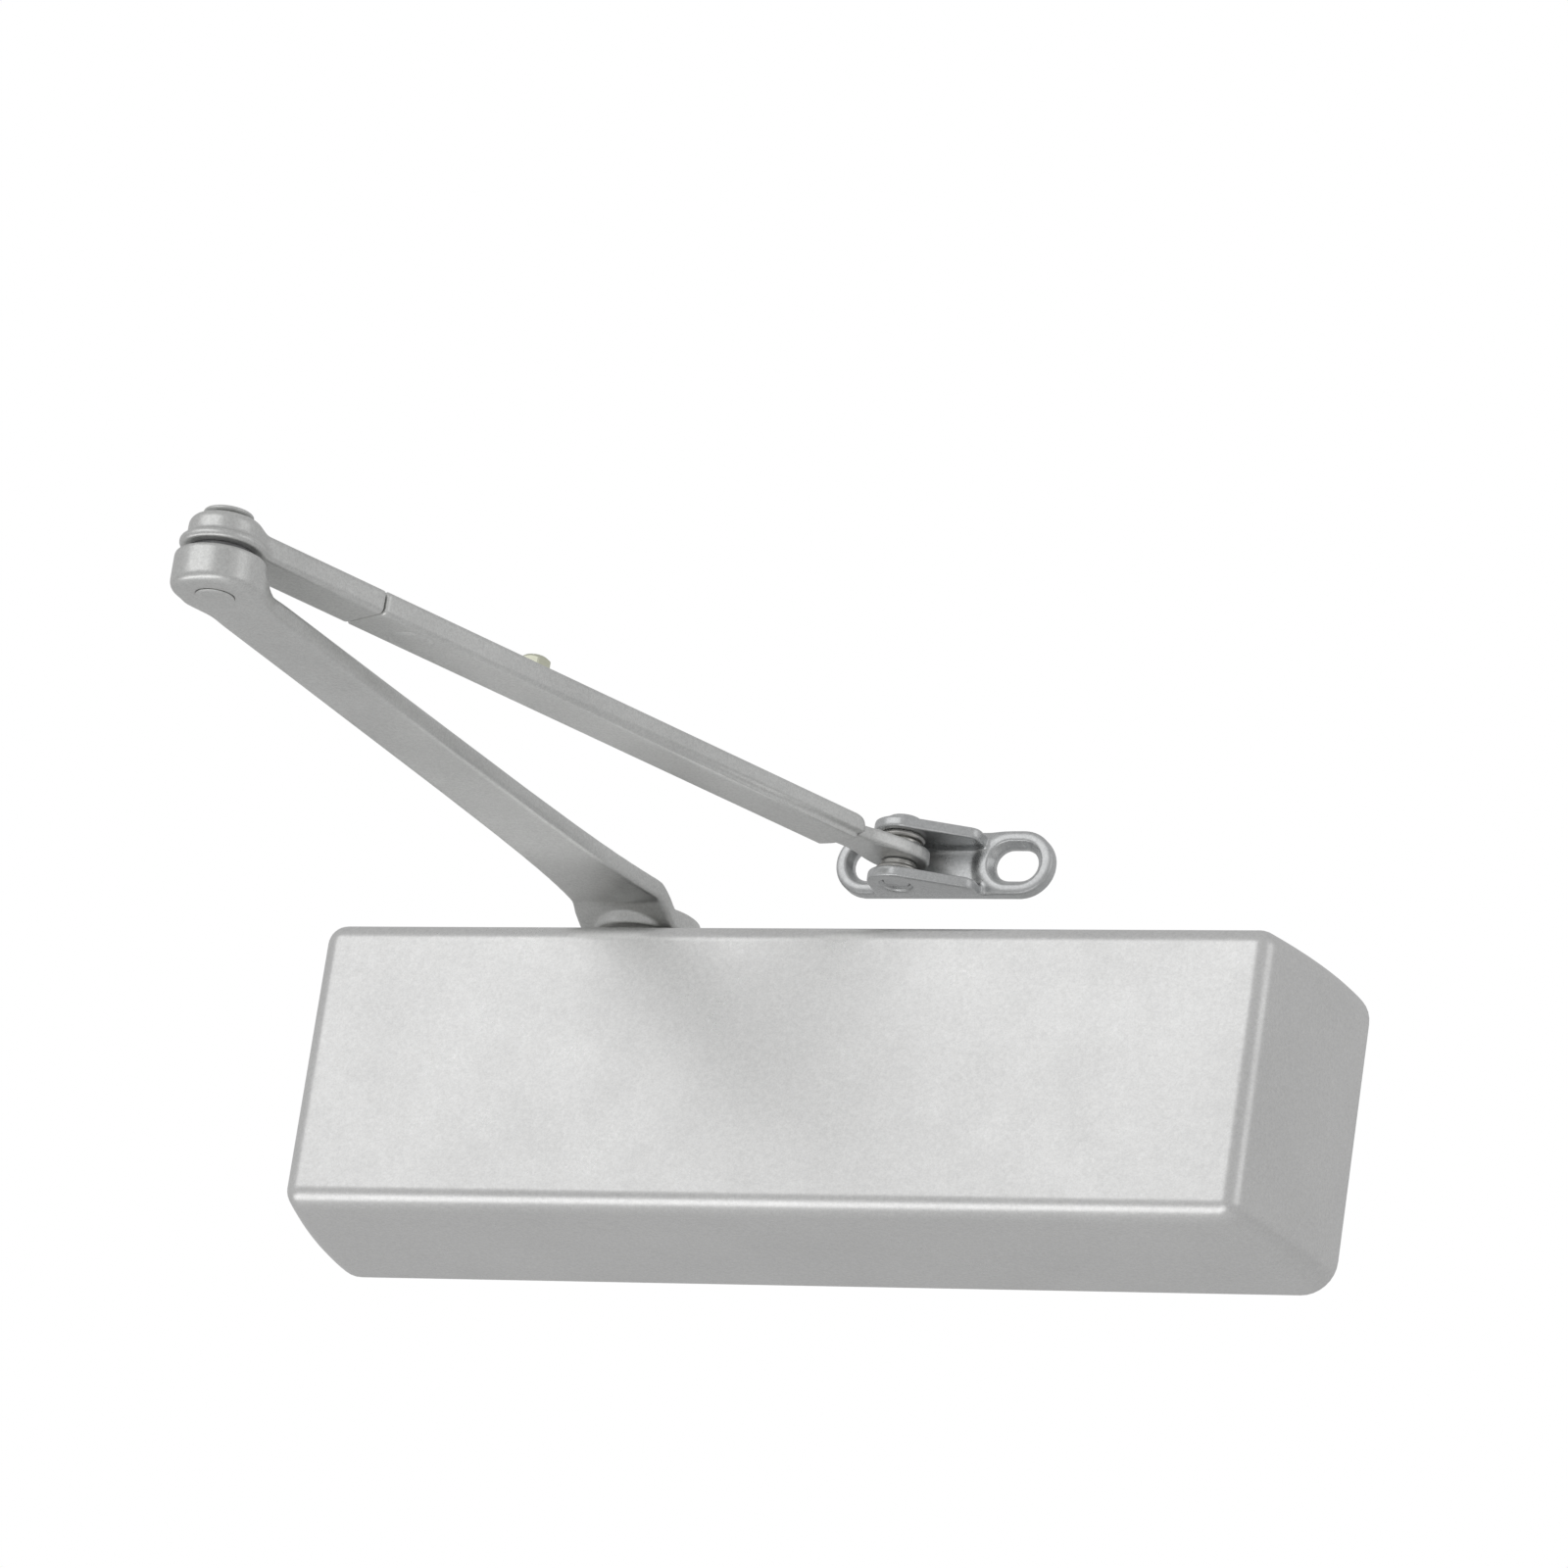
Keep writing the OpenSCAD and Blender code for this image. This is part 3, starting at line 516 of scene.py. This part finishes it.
def cover_levels(shrink, half_l, half_h, depth, wall_end):
    """Rings of the shell from its back edge to its front face: (half length, half height, corner, y)."""
    centre_y = COVER_FILLET - depth
    r = COVER_FILLET - shrink

    def inset(y, draft):
        lean = math.atan(draft * BOW / -centre_y)
        start = centre_y - r * math.sin(lean)
        total = shrink + draft * (max(y, start) / centre_y) ** BOW
        if y < start:
            total += r * (math.cos(lean) - math.sqrt(max(0.0, 1 - ((centre_y - y) / r) ** 2)))
        return total

    levels = []
    for k in range(15):
        y = wall_end + (centre_y - wall_end) * k / 14
        corner = COVER_CORNER + (COVER_FILLET - COVER_CORNER) * y / centre_y - shrink
        levels.append((half_l - inset(y, END_DRAFT), half_h - inset(y, SIDE_DRAFT), corner, y))
    for k in range(1, 11):
        a = math.radians(9 * k)
        y = centre_y - r * math.sin(a)
        corner = max(r * math.cos(a), 0.02)
        levels.append((half_l - inset(y, END_DRAFT), half_h - inset(y, SIDE_DRAFT), corner, y))
    return levels


def make_cover():
    lo, hi = box_mm("cover")
    half_l, half_h, depth = hi[0], hi[2], -lo[1]
    wall, edge = COVER_WALL, 0.5
    outer = cover_levels(0, half_l, half_h, depth, -edge)
    inner = cover_levels(wall, half_l, half_h, depth, -edge)
    rim = [(half_l - i, half_h - i, COVER_CORNER - i, 0) for i in (wall - edge, edge)]
    rings = [rounded_rectangle(*level) for level in reversed(inner)]
    rings += [rounded_rectangle(*level) for level in rim]
    rings += [rounded_rectangle(*level) for level in outer]
    verts, faces = [], []
    count = len(rings[0])
    for ring in rings:
        verts += ring
    for k in range(len(rings) - 1):
        for i in range(count):
            j = (i + 1) % count
            faces.append((k * count + i, k * count + j, (k + 1) * count + j, (k + 1) * count + i))
    faces.append(tuple(range(count)))
    faces.append(tuple((len(rings) - 1) * count + i for i in range(count)))
    shell = add_object("cover_shell", verts, faces)
    bm = bmesh.new()
    bm.from_mesh(shell.data)
    bmesh.ops.remove_doubles(bm, verts=bm.verts, dist=0.06 * MM)
    bmesh.ops.dissolve_degenerate(bm, edges=bm.edges, dist=0.01 * MM)
    bmesh.ops.recalc_face_normals(bm, faces=bm.faces)
    bm.to_mesh(shell.data)
    bm.free()
    # The notch for the pinion, open at the back edge
    notch = NOTCH_R
    outline = [(PINION[0] + notch, 6), (PINION[0] + notch, PINION[1])]
    for k in range(1, 32):
        a = math.pi * k / 32
        outline.append((PINION[0] + notch * math.cos(a), PINION[1] - notch * math.sin(a)))
    outline += [(PINION[0] - notch, PINION[1]), (PINION[0] - notch, 6)]
    tool = prism("notch_tool", outline, 36, 52)
    hole_y = centre_mm("cover_screws")[1]
    hole = [(0, 36), (2.2, 36), (2.2, 52), (0, 52)]
    screws = [lathe("hole_tool", hole, frame_at((x, hole_y)), 32) for x in (-90, 90)]
    cut(shell, tool, *screws)
    return shell


def prism(name, outline, z0, z1, matrix=None):
    count = len(outline)
    verts = [(x, y, z0) for x, y in outline] + [(x, y, z1) for x, y in outline]
    faces = [(i, (i + 1) % count, count + (i + 1) % count, count + i) for i in range(count)]
    faces += [tuple(range(count)), tuple(count + i for i in range(count))]
    return add_object(name, verts, faces, matrix, smooth=False)


cover = make_cover()
weighted(cover)
finish_piece(cover, "closer_body", COVER_PAINT, "silver_paint", "cover")

# ---------------------------------------------------------------- main arm

WEB = 5.5
FOLD_X = 18.6
RAMP = math.tan(math.radians(35))
RAMP_X0 = FOLD_X - (ARM_Z - HUB_Z0) / RAMP
BOSS_R = 12.7
BOSS_TOP = ARM_Z + BOSS_HEIGHT
HUB_R, COLLAR_R, COLLAR_Z0 = 15.8, 12.0, 46.5
SQUARE_HALF, RIVET_HOLE_R = 6.3, 5.05


def soft_ramp(x, start, end, k):
    """Height and slope of a ramp with eased ends."""
    a, b = x - start, x - end
    ra, rb = np.sqrt(a * a + k * k), np.sqrt(b * b + k * k)
    return 0.5 * (a + ra - b - rb), 0.5 * (a / ra - b / rb)


def arm_field(x, y, z):
    rise, slope = soft_ramp(x, RAMP_X0, FOLD_X, 0.9)
    under = HUB_Z0 + rise * RAMP
    centre = under + WEB / 2
    web = (np.abs(z - centre) - WEB / 2) / np.sqrt(1 + (slope * RAMP) ** 2)
    half = 9.9 + 1.2 * (1 - x / ARM_LENGTH) + 4.0 * np.exp(-(np.maximum(x, 10) - FOLD_X) / 26)
    half = np.minimum(half, 15.6)
    strip = np.maximum(np.maximum(np.abs(y) - half, -x), x - ARM_LENGTH + 6)
    boss_disc = disc(x, y, ARM_LENGTH, 0, BOSS_R)
    plan = either(strip, boss_disc, 6.0)
    edge = 1.2 + 1.4 * ease(x, ARM_LENGTH - 22, ARM_LENGTH - 4)
    blade = both(plan, web, edge)
    column = both(boss_disc, slab(z, ARM_Z + 2.4, BOSS_TOP), 0.9)
    # the web's top runs up the boss in a fillet
    fillet = np.maximum(either(boss_disc, z - (ARM_Z + WEB), 3.5), np.maximum(boss_disc - 3.5, plan + 0.5))
    fillet = np.maximum(fillet, np.maximum(ARM_Z + 3 - z, z - BOSS_TOP + 1))
    body = np.minimum(np.minimum(blade, column), fillet)
    hub = both(disc(x, y, 0, 0, HUB_R), slab(z, HUB_Z0, HUB_Z1), 1.2)
    collar = both(disc(x, y, 0, 0, COLLAR_R), slab(z, COLLAR_Z0, HUB_Z0 + 2), 0.6)
    body = np.minimum(np.minimum(body, hub), collar)
    bore = np.maximum(np.abs(x), np.abs(y)) - SQUARE_HALF
    rivet = disc(x, y, ARM_LENGTH, 0, RIVET_HOLE_R)
    return np.maximum(np.maximum(body, -bore), -rivet)


arm = surface(
    "main_lever", arm_field, (-17, -17, 46), (ARM_LENGTH + 14, 17, BOSS_TOP + 1), 0.55, 0.42, ON_ARM,
)
finish_piece(arm, "pinion_and_arm", ARM_PAINT, "arm_paint", "main_arm")

# The elbow rivet: a shallow headed end under the arm and a flat domed head over the drum
elbow_profile = rounded([
    (0, ARM_Z - 0.5, 0), (4.7, ARM_Z - 0.45, 0.5), (5.5, ARM_Z - 0.05, 0.2), (4.99, ARM_Z + 0.4, 0),
    (4.99, ARM_Z + 22.85, 0), (6.4, ARM_Z + 22.9, 0.2), (6.95, ARM_Z + 23.4, 0.3), (6.8, ARM_Z + 24.1, 0.5),
    (4.6, ARM_Z + 24.7, 1.5), (0, ARM_Z + 24.8, 0),
])
rivet = lathe("elbow_rivet_headed", elbow_profile, frame_at(ELBOW))
weighted(rivet)
finish_piece(rivet, "pinion_and_arm", ARM_PAINT, "arm_paint", "elbow_rivet")

# ---------------------------------------------------------------- forearm

BAR_W, BAR_H, BAR_EDGE = 16.4, 7.0, 1.5
SEAM_X = 52.0
TUBE_END = 238.0
TUBE_SIDE, TUBE_WALL = 2.3, 1.4
DRUM_TOP = ARM_Z + 22
SWAGE_X, CLAMP_X = 69.6, 114.2
AT_SWAGE = ON_FOREARM @ Matrix.Translation((SWAGE_X * MM, 0, 0))
AT_CLAMP = ON_FOREARM @ Matrix.Translation((CLAMP_X * MM, 0, 0))
TONGUE_END = 78


def bar_field(x, y, z):
    flange = both(disc(x, y, 0, 0, 12.1), slab(z, BAR_Z, BAR_Z + 2.9), 1.3)
    drum = both(disc(x, y, 0, 0, 10.3), slab(z, BAR_Z, DRUM_TOP), 2.8)
    bar = both(np.abs(y) - BAR_W / 2, slab(z, BAR_Z, BAR_Z + BAR_H), BAR_EDGE)
    bar = np.maximum(np.maximum(bar, x - SEAM_X), 4 - x)
    head = either(either(flange, np.maximum(drum, BAR_Z + 1 - z), 0.8), bar, 1.6)
    head = np.maximum(head, np.maximum(BAR_Z - z, z - DRUM_TOP))
    inner = np.maximum(
        np.abs(y) - BAR_W / 2 + TUBE_SIDE + 0.2,
        slab(z, BAR_Z + TUBE_WALL + 0.2, BAR_Z + BAR_H - TUBE_WALL - 0.2),
    )
    tongue = np.maximum(inner, slab(x, SEAM_X - 2, TONGUE_END))
    return np.maximum(np.minimum(head, tongue), -disc(x, y, 0, 0, RIVET_HOLE_R))


bar = surface(
    "forearm_head", bar_field, (-13, -13, BAR_Z - 0.5), (79, 13, DRUM_TOP + 0.5), 0.5, 0.32, ON_FOREARM,
)
finish_piece(bar, "forearm", ARM_PAINT, "arm_paint", "forearm_elbow")


def section(half_w, half_h, r, arc_steps=5, side_steps=4):
    """Rounded rectangle (y, z) points, closed, going round once."""
    corners = ((1, 1, 0), (-1, 1, 90), (-1, -1, 180), (1, -1, 270))
    points = []
    for n, (sy, sz, start) in enumerate(corners):
        for k in range(arc_steps + 1):
            a = math.radians(start + 90 * k / arc_steps)
            points.append((sy * (half_w - r) + r * math.cos(a), sz * (half_h - r) + r * math.sin(a)))
        last = points[-1]
        ny, nz, nstart = corners[(n + 1) % 4]
        a = math.radians(nstart)
        nxt = (ny * (half_w - r) + r * math.cos(a), nz * (half_h - r) + r * math.sin(a))
        for k in range(1, side_steps):
            t = k / side_steps
            points.append((last[0] + (nxt[0] - last[0]) * t, last[1] + (nxt[1] - last[1]) * t))
    return points


def make_tube():
    """The long channel: rounded edges, a crease that fades out near its lower edge, a trimmed open end."""
    x0, x1 = SEAM_X + 0.45, TUBE_END
    half_w, half_h = BAR_W / 2, BAR_H / 2
    middle_z = BAR_Z + half_h
    stations = [0, 0.003, 0.008] + [k / 60 for k in range(1, 60)] + [0.992, 0.997, 1.0]
    outer = section(half_w, half_h, BAR_EDGE, 8, 12)
    inner = section(half_w - TUBE_SIDE, half_h - TUBE_WALL, 0.4, 8, 12)

    def end_x(y, z):
        far_cut = 0.35 * max(0.0, y - half_w + 5.3)
        near_top = 3.6 * (max(0.0, z + 0.4) / (half_h + 0.4)) ** 3
        return x1 - far_cut - near_top - 1.2 * ease(-z, 1.2, 3.2)

    verts, faces, rings = [], [], []
    for sign, ring in ((1, outer), (-1, inner)):
        for t in (stations if sign > 0 else reversed(stations)):
            indices = []
            for y, z in ring:
                b = end_x(y, z)
                x = x0 + (b - x0) * t
                py, pz = y, z
                if sign > 0:
                    inset = 0.45 * max(0.0, 1 - min(x - x0, b - x) / 0.45) ** 2
                    py, pz = y * (1 - inset / half_w), z * (1 - inset / half_h)
                    # the crease
                    around = (y + half_w) - (z + half_h)
                    if y < 0 and z < 0 and abs(around + 0.3) < 2.3:
                        push = 1.25 * float(ease(x, 95, 225)) * (1 - ((around + 0.3) / 2.3) ** 2) ** 2
                        py, pz = py + push, pz + 0.75 * push
                indices.append(len(verts))
                verts.append((x, py, middle_z + pz))
            rings.append(indices)
    count = len(outer)
    for lower, upper in list(zip(rings, rings[1:])) + [(rings[-1], rings[0])]:
        for i in range(count):
            j = (i + 1) % count
            faces.append((lower[i], lower[j], upper[j], upper[i]))
    tube = add_object("forearm_channel", verts, faces, ON_FOREARM)

    def drill(name, r, z0, z1, matrix):
        return lathe(name, [(0, z0), (r, z0), (r, z1), (0, z1)], matrix, 40)

    rivet_hole = drill("rivet_tool", 3.0, BAR_Z - 2, BAR_Z + 10, AT_SWAGE)
    clamp_hole = drill("clamp_tool", 2.5, BAR_Z + 4.5, BAR_Z + 12, AT_CLAMP)
    return cut(tube, rivet_hole, clamp_hole)


tube = make_tube()
weighted(tube)
finish_piece(tube, "forearm", ARM_PAINT, "arm_paint", "forearm_tube")

swage_profile = rounded([
    (0, BAR_Z - 0.42, 0), (5.2, BAR_Z - 0.36, 1.0), (6.3, BAR_Z - 0.05, 0.4), (6.32, BAR_Z + 0.02, 0),
    (2.98, BAR_Z + 0.05, 0), (2.98, BAR_Z + BAR_H, 0), (5.0, BAR_Z + BAR_H, 0),
    (4.9, BAR_Z + BAR_H + 0.5, 0.4), (3.6, BAR_Z + BAR_H + 0.8, 0.8), (0, BAR_Z + BAR_H + 0.8, 0),
])
swage = lathe("forearm_swaged_rivet", swage_profile, AT_SWAGE)
weighted(swage)
finish_piece(swage, "forearm", ARM_PAINT, "arm_paint", "forearm_rivet")


def hex_field(flats, z0, z1, chamfer, shank_r, shank_z, cup):
    """A hexagon head with a turned chamfer, a plain shank and a shallow dish in its end face."""
    def field(x, y, z):
        hexagon = np.full_like(x, -1e9)
        for k in range(3):
            a = math.radians(60 * k + 30)
            hexagon = np.maximum(hexagon, np.abs(x * math.cos(a) + y * math.sin(a)) - flats / 2)
        radial = np.hypot(x, y)
        cone = (radial - flats / 2 - 0.1 + (z - z1 + chamfer) * 1.3) / 1.64
        head = np.maximum(np.maximum(hexagon, slab(z, z0, z1)), cone)
        shank = np.maximum(radial - shank_r, slab(z, shank_z, z0 + 0.5))
        solid = np.minimum(head, shank)
        return np.maximum(solid, -np.maximum(radial - flats * 0.3, z1 - cup - z))
    return field


clamp_box = box_mm("clamp_screw")
clamp = surface(
    "clamp_hex_screw",
    hex_field(8.14, BAR_Z + BAR_H + 0.3, clamp_box[1][2], 0.8, 2.43, clamp_box[0][2], 0.25),
    (-5, -5, clamp_box[0][2]), (5, 5, clamp_box[1][2]), 0.2, 0.12, AT_CLAMP,
)
finish_piece(clamp, "clamp_screw_body", ZINC, "yellow_zinc", "clamp_screw")

# ---------------------------------------------------------------- rod with its flattened eye

EYE_Z0, EYE_Z1 = ARM_Z + 14.7, ARM_Z + 19.1
ROD_X0, ROD_W, ROD_H = 82.0, 11.6, 4.0
ROD_Z = BAR_Z + 1.5
EYE_R = 8.5


def rod_field(x, y, z):
    reach = FOREARM_LENGTH
    flare = 2.6 * ease(x, reach - 18, reach - 2)
    strip = np.abs(y) - ROD_W / 2 - flare
    lift = ease(x, reach - 21, reach - 13)
    low = ROD_Z + (EYE_Z0 - ROD_Z) * lift
    high = ROD_Z + ROD_H + (EYE_Z1 - ROD_Z - ROD_H) * lift
    thick = np.abs(z - (low + high) / 2) - (high - low) / 2
    bar = both(np.maximum(strip, x - reach), thick, 0.8)
    eye = both(disc(x, y, reach, 0, EYE_R), slab(z, EYE_Z0, EYE_Z1), 0.8)
    solid = np.maximum(np.minimum(bar, eye), ROD_X0 - x)
    return np.maximum(solid, -disc(x, y, reach, 0, 4.08))


rod = surface(
    "rod_with_eye", rod_field, (ROD_X0, -9, ROD_Z - 0.5), (FOREARM_LENGTH + 9, 9, ROD_Z + ROD_H + 0.5),
    0.5, 0.3, ON_FOREARM,
)
finish_piece(rod, "rod", ARM_PAINT, "arm_paint", "forearm_rod")

# ---------------------------------------------------------------- shoe

S_BACK, S_HEIGHT, S_BASE, S_WEB, S_PAD, EAR, EAR_TOP = 13.0, 19.6, 0.9, 3.2, 4.0, 3.4, 18.6
S_LEFT, S_RIGHT = -23.6, 43.2
SLOTS = (-12.2, 31.6)
SLOT_HALF, SLOT_R = 1.7, 4.9
PAD_LENGTH, NOSE_R, EAR_END, EAR_SLANT = 23, 8.5, 22.5, math.radians(27)


def shoe_field(x, y, z):
    z = z - SHOE_Z
    half_h = S_HEIGHT / 2
    mid = S_BASE + half_h
    front, throat = S_BACK - S_PAD, S_BACK - 2.0
    outline = capsule(x, z, S_LEFT + half_h, S_RIGHT - half_h, mid, half_h)
    solid = both(outline, slab(y, S_BACK - S_WEB, S_BACK), 1.0)
    for cx in SLOTS:
        # a raised round rim about each slot
        x0, x1 = (S_LEFT, S_LEFT + PAD_LENGTH) if cx < 0 else (S_RIGHT - PAD_LENGTH, S_RIGHT)
        rim = both(capsule(x, z, x0 + half_h, x1 - half_h, mid, half_h), slab(y, front, S_BACK + 2), 2.0)
        solid = either(solid, rim, 3.0)
    # ears: a round nose whose front edge runs out to the right end of the root
    nose = np.hypot(x, y) - NOSE_R
    edge = math.sin(EAR_SLANT) * x - math.cos(EAR_SLANT) * y - NOSE_R
    tip = both(edge, x - EAR_END, 2.0)
    behind = y - S_BACK + 1
    left = np.maximum(np.maximum(-0.992 * (x + NOSE_R) - 0.124 * y, -y), np.maximum(tip, behind))
    right = np.maximum(-math.cos(EAR_SLANT) * x - math.sin(EAR_SLANT) * y, np.maximum(tip, behind))
    plan = np.minimum(np.minimum(nose, left), right)
    ears = np.minimum(slab(z, 0, EAR), slab(z, EAR_TOP - EAR, EAR_TOP))
    solid = either(solid, both(plan, ears, 0.7), 1.8)
    solid = np.maximum(solid, np.minimum(outline, y - 8.0))
    solid = np.maximum(solid, np.maximum(y - S_BACK, -z))
    # slots with their countersinks
    for cx in SLOTS:
        slot = capsule(x, z, cx - SLOT_HALF, cx + SLOT_HALF, mid, SLOT_R)
        sink = np.maximum((slot - 0.75 * np.maximum(throat - y, 0)) / 1.25, y - throat)
        # the cut ends just in front of the pad, so that it leaves the ears whole
        solid = np.maximum(solid, -np.maximum(np.minimum(slot, sink), front - 1.0 - y))
    pocket = np.maximum(disc(x, y, 0, 0, 8.9), slab(z, EAR, EAR_TOP - EAR))
    solid = np.maximum(solid, -pocket)
    hole = disc(x, y, 0, 0, 4.03)
    recess = np.maximum(disc(x, y, 0, 0, 4.9), z - 1.0)
    return np.maximum(np.maximum(solid, -hole), -recess)


shoe = surface(
    "shoe_bracket", shoe_field, (S_LEFT, -9.5, SHOE_Z), (S_RIGHT, S_BACK, SHOE_Z + S_BASE + S_HEIGHT),
    0.32, 0.26, AT_SHOE,
)
finish_piece(shoe, "shoe_body", SHOE_PAINT, "arm_paint", "shoe")

rivet_profile = rounded([
    (0, SHOE_Z + 1.0, 0), (3.6, SHOE_Z + 1.0, 0.3), (3.98, SHOE_Z + 1.5, 0), (3.98, SHOE_Z + EAR_TOP, 0),
    (6.1, SHOE_Z + EAR_TOP + 0.02, 0.2), (6.15, SHOE_Z + EAR_TOP + 1.0, 0.45),
    (5.0, SHOE_Z + EAR_TOP + 1.15, 0.3), (4.7, SHOE_Z + EAR_TOP + 1.9, 0.5), (0, SHOE_Z + EAR_TOP + 2.05, 0),
])
shoe_pin = lathe("shoe_rivet_headed", rivet_profile, AT_SHOE)
weighted(shoe_pin)
finish_piece(shoe_pin, "shoe_body", SHOE_PAINT, "arm_paint", "shoe_rivet")


def cupped(name, z0, z1, flip):
    """A bright washer with a rolled rim and a smaller step against the eye."""
    height = abs(z1 - z0)
    points = [
        (4.05, 0, 0), (6.3, 0, 0.5), (6.7, 0.9, 0.5), (6.2, 1.6, 0.4), (5.3, 1.9, 0.3),
        (5.2, height, 0.4), (4.05, height, 0),
    ]
    profile = rounded([(r, z0 + (-h if flip else h), c) for r, h, c in points])
    return lathe(name, profile, AT_SHOE, 64)


lower_cup = cupped("shoe_washer_lower", SHOE_Z + EAR + 0.05, EYE_Z0 - 0.2, False)
upper_cup = cupped("shoe_washer_upper", SHOE_Z + EAR_TOP - EAR - 0.05, EYE_Z1 + 0.2, True)
for washer in (lower_cup, upper_cup):
    weighted(washer)
    finish_piece(washer, "shoe_body", BRIGHT, "bright_steel", "shoe_washers")

# ---------------------------------------------------------------- arm screw on top of the pinion

screw_box = box_mm("arm_screw")
arm_screw = surface(
    "arm_hex_screw", hex_field(11.7, HUB_Z1 + 1.2, screw_box[1][2], 0.9, 3.35, screw_box[0][2], 0.5),
    (-7, -7, screw_box[0][2]), (7, 7, screw_box[1][2]), 0.25, 0.15, AT_PINION,
)
finish_piece(arm_screw, "pinion_and_arm", BRIGHT, "bright_steel", "arm_screw")

# ---------------------------------------------------------------- main spring


def make_spring():
    wire, mean, coils = 2.8, 14.2, 12
    lo, hi = box_mm("main_spring")
    x0, x1 = lo[0] + wire, hi[0] - wire
    closed = 2 * wire + 0.1
    open_pitch = (x1 - x0 - 2 * closed) / (coils - 2)
    per_coil, sides = 40, 16
    verts, faces = [], []
    total = coils * per_coil
    for i in range(total + 1):
        c = i / per_coil
        if c < 1:
            x = x0 + c * closed
        elif c < coils - 1:
            x = x0 + closed + (c - 1) * open_pitch
        else:
            x = x0 + closed + (coils - 2) * open_pitch + (c - coils + 1) * closed
        turn = 2 * math.pi * c
        # the end coils are ground flat against their seats
        for j in range(sides):
            a = 2 * math.pi * j / sides
            r = mean + wire * math.cos(a)
            px = min(max(x + wire * math.sin(a), lo[0] + 0.15), hi[0] - 0.15)
            verts.append((px, BORE_Y + r * math.cos(turn), r * math.sin(turn)))
    for i in range(total):
        for j in range(sides):
            k = (j + 1) % sides
            faces.append((i * sides + j, (i + 1) * sides + j, (i + 1) * sides + k, i * sides + k))
    faces.append(tuple(range(sides)))
    faces.append(tuple(total * sides + j for j in range(sides)))
    return add_object("spring_wire", verts, faces)


spring = make_spring()
finish_piece(spring, "closer_body", DARK, "dark_steel", "main_spring")
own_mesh(spring)

# ---------------------------------------------------------------- CAD nodes that stay

KEPT = {
    CAST: ["body_casting"],
    BRIGHT: [
        "cover_screws", "left_end_cap", "right_end_cap", "upper_bearing_nut", "lower_bearing_nut",
        "upper_bearing_cup", "lower_bearing_cup", "upper_needles", "lower_needles", "pinion", "piston",
        "check_ball", "check_ball_retainer", "spring_adjust_nut", "sweep_valve", "latch_valve",
        "backcheck_valve", "arm_washer",
    ],
    DARK: ["power_adjust_screw", "adjust_screw_clip", "elbow_washer"],
    RUBBER: ["left_cap_oring", "right_cap_oring", "upper_shaft_seal", "lower_shaft_seal", "valve_orings"],
}
for material, names in KEPT.items():
    for name in names:
        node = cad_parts[name]
        node.data.materials.clear()
        node.data.materials.append(material)

# ---------------------------------------------------------------- floor, light and camera

FLOOR_Z = -0.95
floor_mesh = bpy.data.meshes.new("studio_floor")
FLOOR_REACH = 14.0
signs = ((-1, -1), (1, -1), (1, 1), (-1, 1))
floor_corners = [(sx * FLOOR_REACH, sy * FLOOR_REACH, FLOOR_Z) for sx, sy in signs]
floor_mesh.from_pydata(floor_corners, [], [(0, 1, 2, 3)])
floor = bpy.data.objects.new("studio_floor", floor_mesh)
bpy.context.scene.collection.objects.link(floor)
floor_material, floor_tree, floor_shader = new_material("pale_floor")
floor_tone = spread(floor_tree, noise(floor_tree, 3, 3), 0.985, 1.015)
floor_colour = tint(floor_tree, (0.86, 0.86, 0.86), floor_tone)
floor_tree.links.new(floor_colour, floor_shader.inputs["Base Color"])
floor_shader.inputs["Roughness"].default_value = 0.9
floor_mesh.materials.append(floor_material)


def soft_light(name, direction, distance, size, radiance):
    """A rectangular white light that shines at the object from a direction, with the given radiance."""
    data = bpy.data.lights.new(name, "AREA")
    data.shape = "RECTANGLE"
    data.size, data.size_y = size
    data.energy = radiance * math.pi * size[0] * size[1]
    light = bpy.data.objects.new(name, data)
    away = Vector(direction).normalized()
    light.location = away * distance
    light.rotation_euler = away.to_track_quat("Z", "Y").to_euler()
    bpy.context.scene.collection.objects.link(light)
    return light


soft_light("front_high", (-0.40, -0.85, 0.42), 2.6, (2.6, 1.5), 0.62)
soft_light("front_low", (-0.30, -0.62, -0.62), 1.15, (2.0, 0.5), 0.88)
soft_light("right_side", (0.95, -0.25, 0.35), 2.4, (1.2, 1.6), 0.35)

world = bpy.data.worlds.new("studio_world")
bpy.context.scene.world = world
world.use_nodes = True
world_tree = world.node_tree
world_tree.nodes.clear()
world_out = world_tree.nodes.new("ShaderNodeOutputWorld")
background = world_tree.nodes.new("ShaderNodeBackground")
light_path = world_tree.nodes.new("ShaderNodeLightPath")
level = world_tree.nodes.new("ShaderNodeMapRange")
level.inputs["To Min"].default_value = 0.50
level.inputs["To Max"].default_value = 1.0
world_tree.links.new(light_path.outputs["Is Camera Ray"], level.inputs["Value"])
world_tree.links.new(level.outputs["Result"], background.inputs["Strength"])
background.inputs["Color"].default_value = (1, 1, 1, 1)
world_tree.links.new(background.outputs[0], world_out.inputs[0])

camera_data = bpy.data.cameras.new("camera")
camera_data.sensor_width = 36
camera_data.lens = 230.585
camera_data.clip_end = 60
camera = bpy.data.objects.new("camera", camera_data)
bpy.context.scene.collection.objects.link(camera)
forward = Vector((-0.39133, 0.85598, 0.33788)).normalized()
right = Vector((0.92025, 0.36468, 0.14195)).normalized()
up = right.cross(forward).normalized()
right = forward.cross(up).normalized()
camera.matrix_world = Matrix((
    (right.x, up.x, -forward.x, 1.1149),
    (right.y, up.y, -forward.y, -2.5172),
    (right.z, up.z, -forward.z, -0.8844),
    (0, 0, 0, 1),
))
bpy.context.scene.camera = camera
bpy.context.scene.view_settings.view_transform = "Standard"
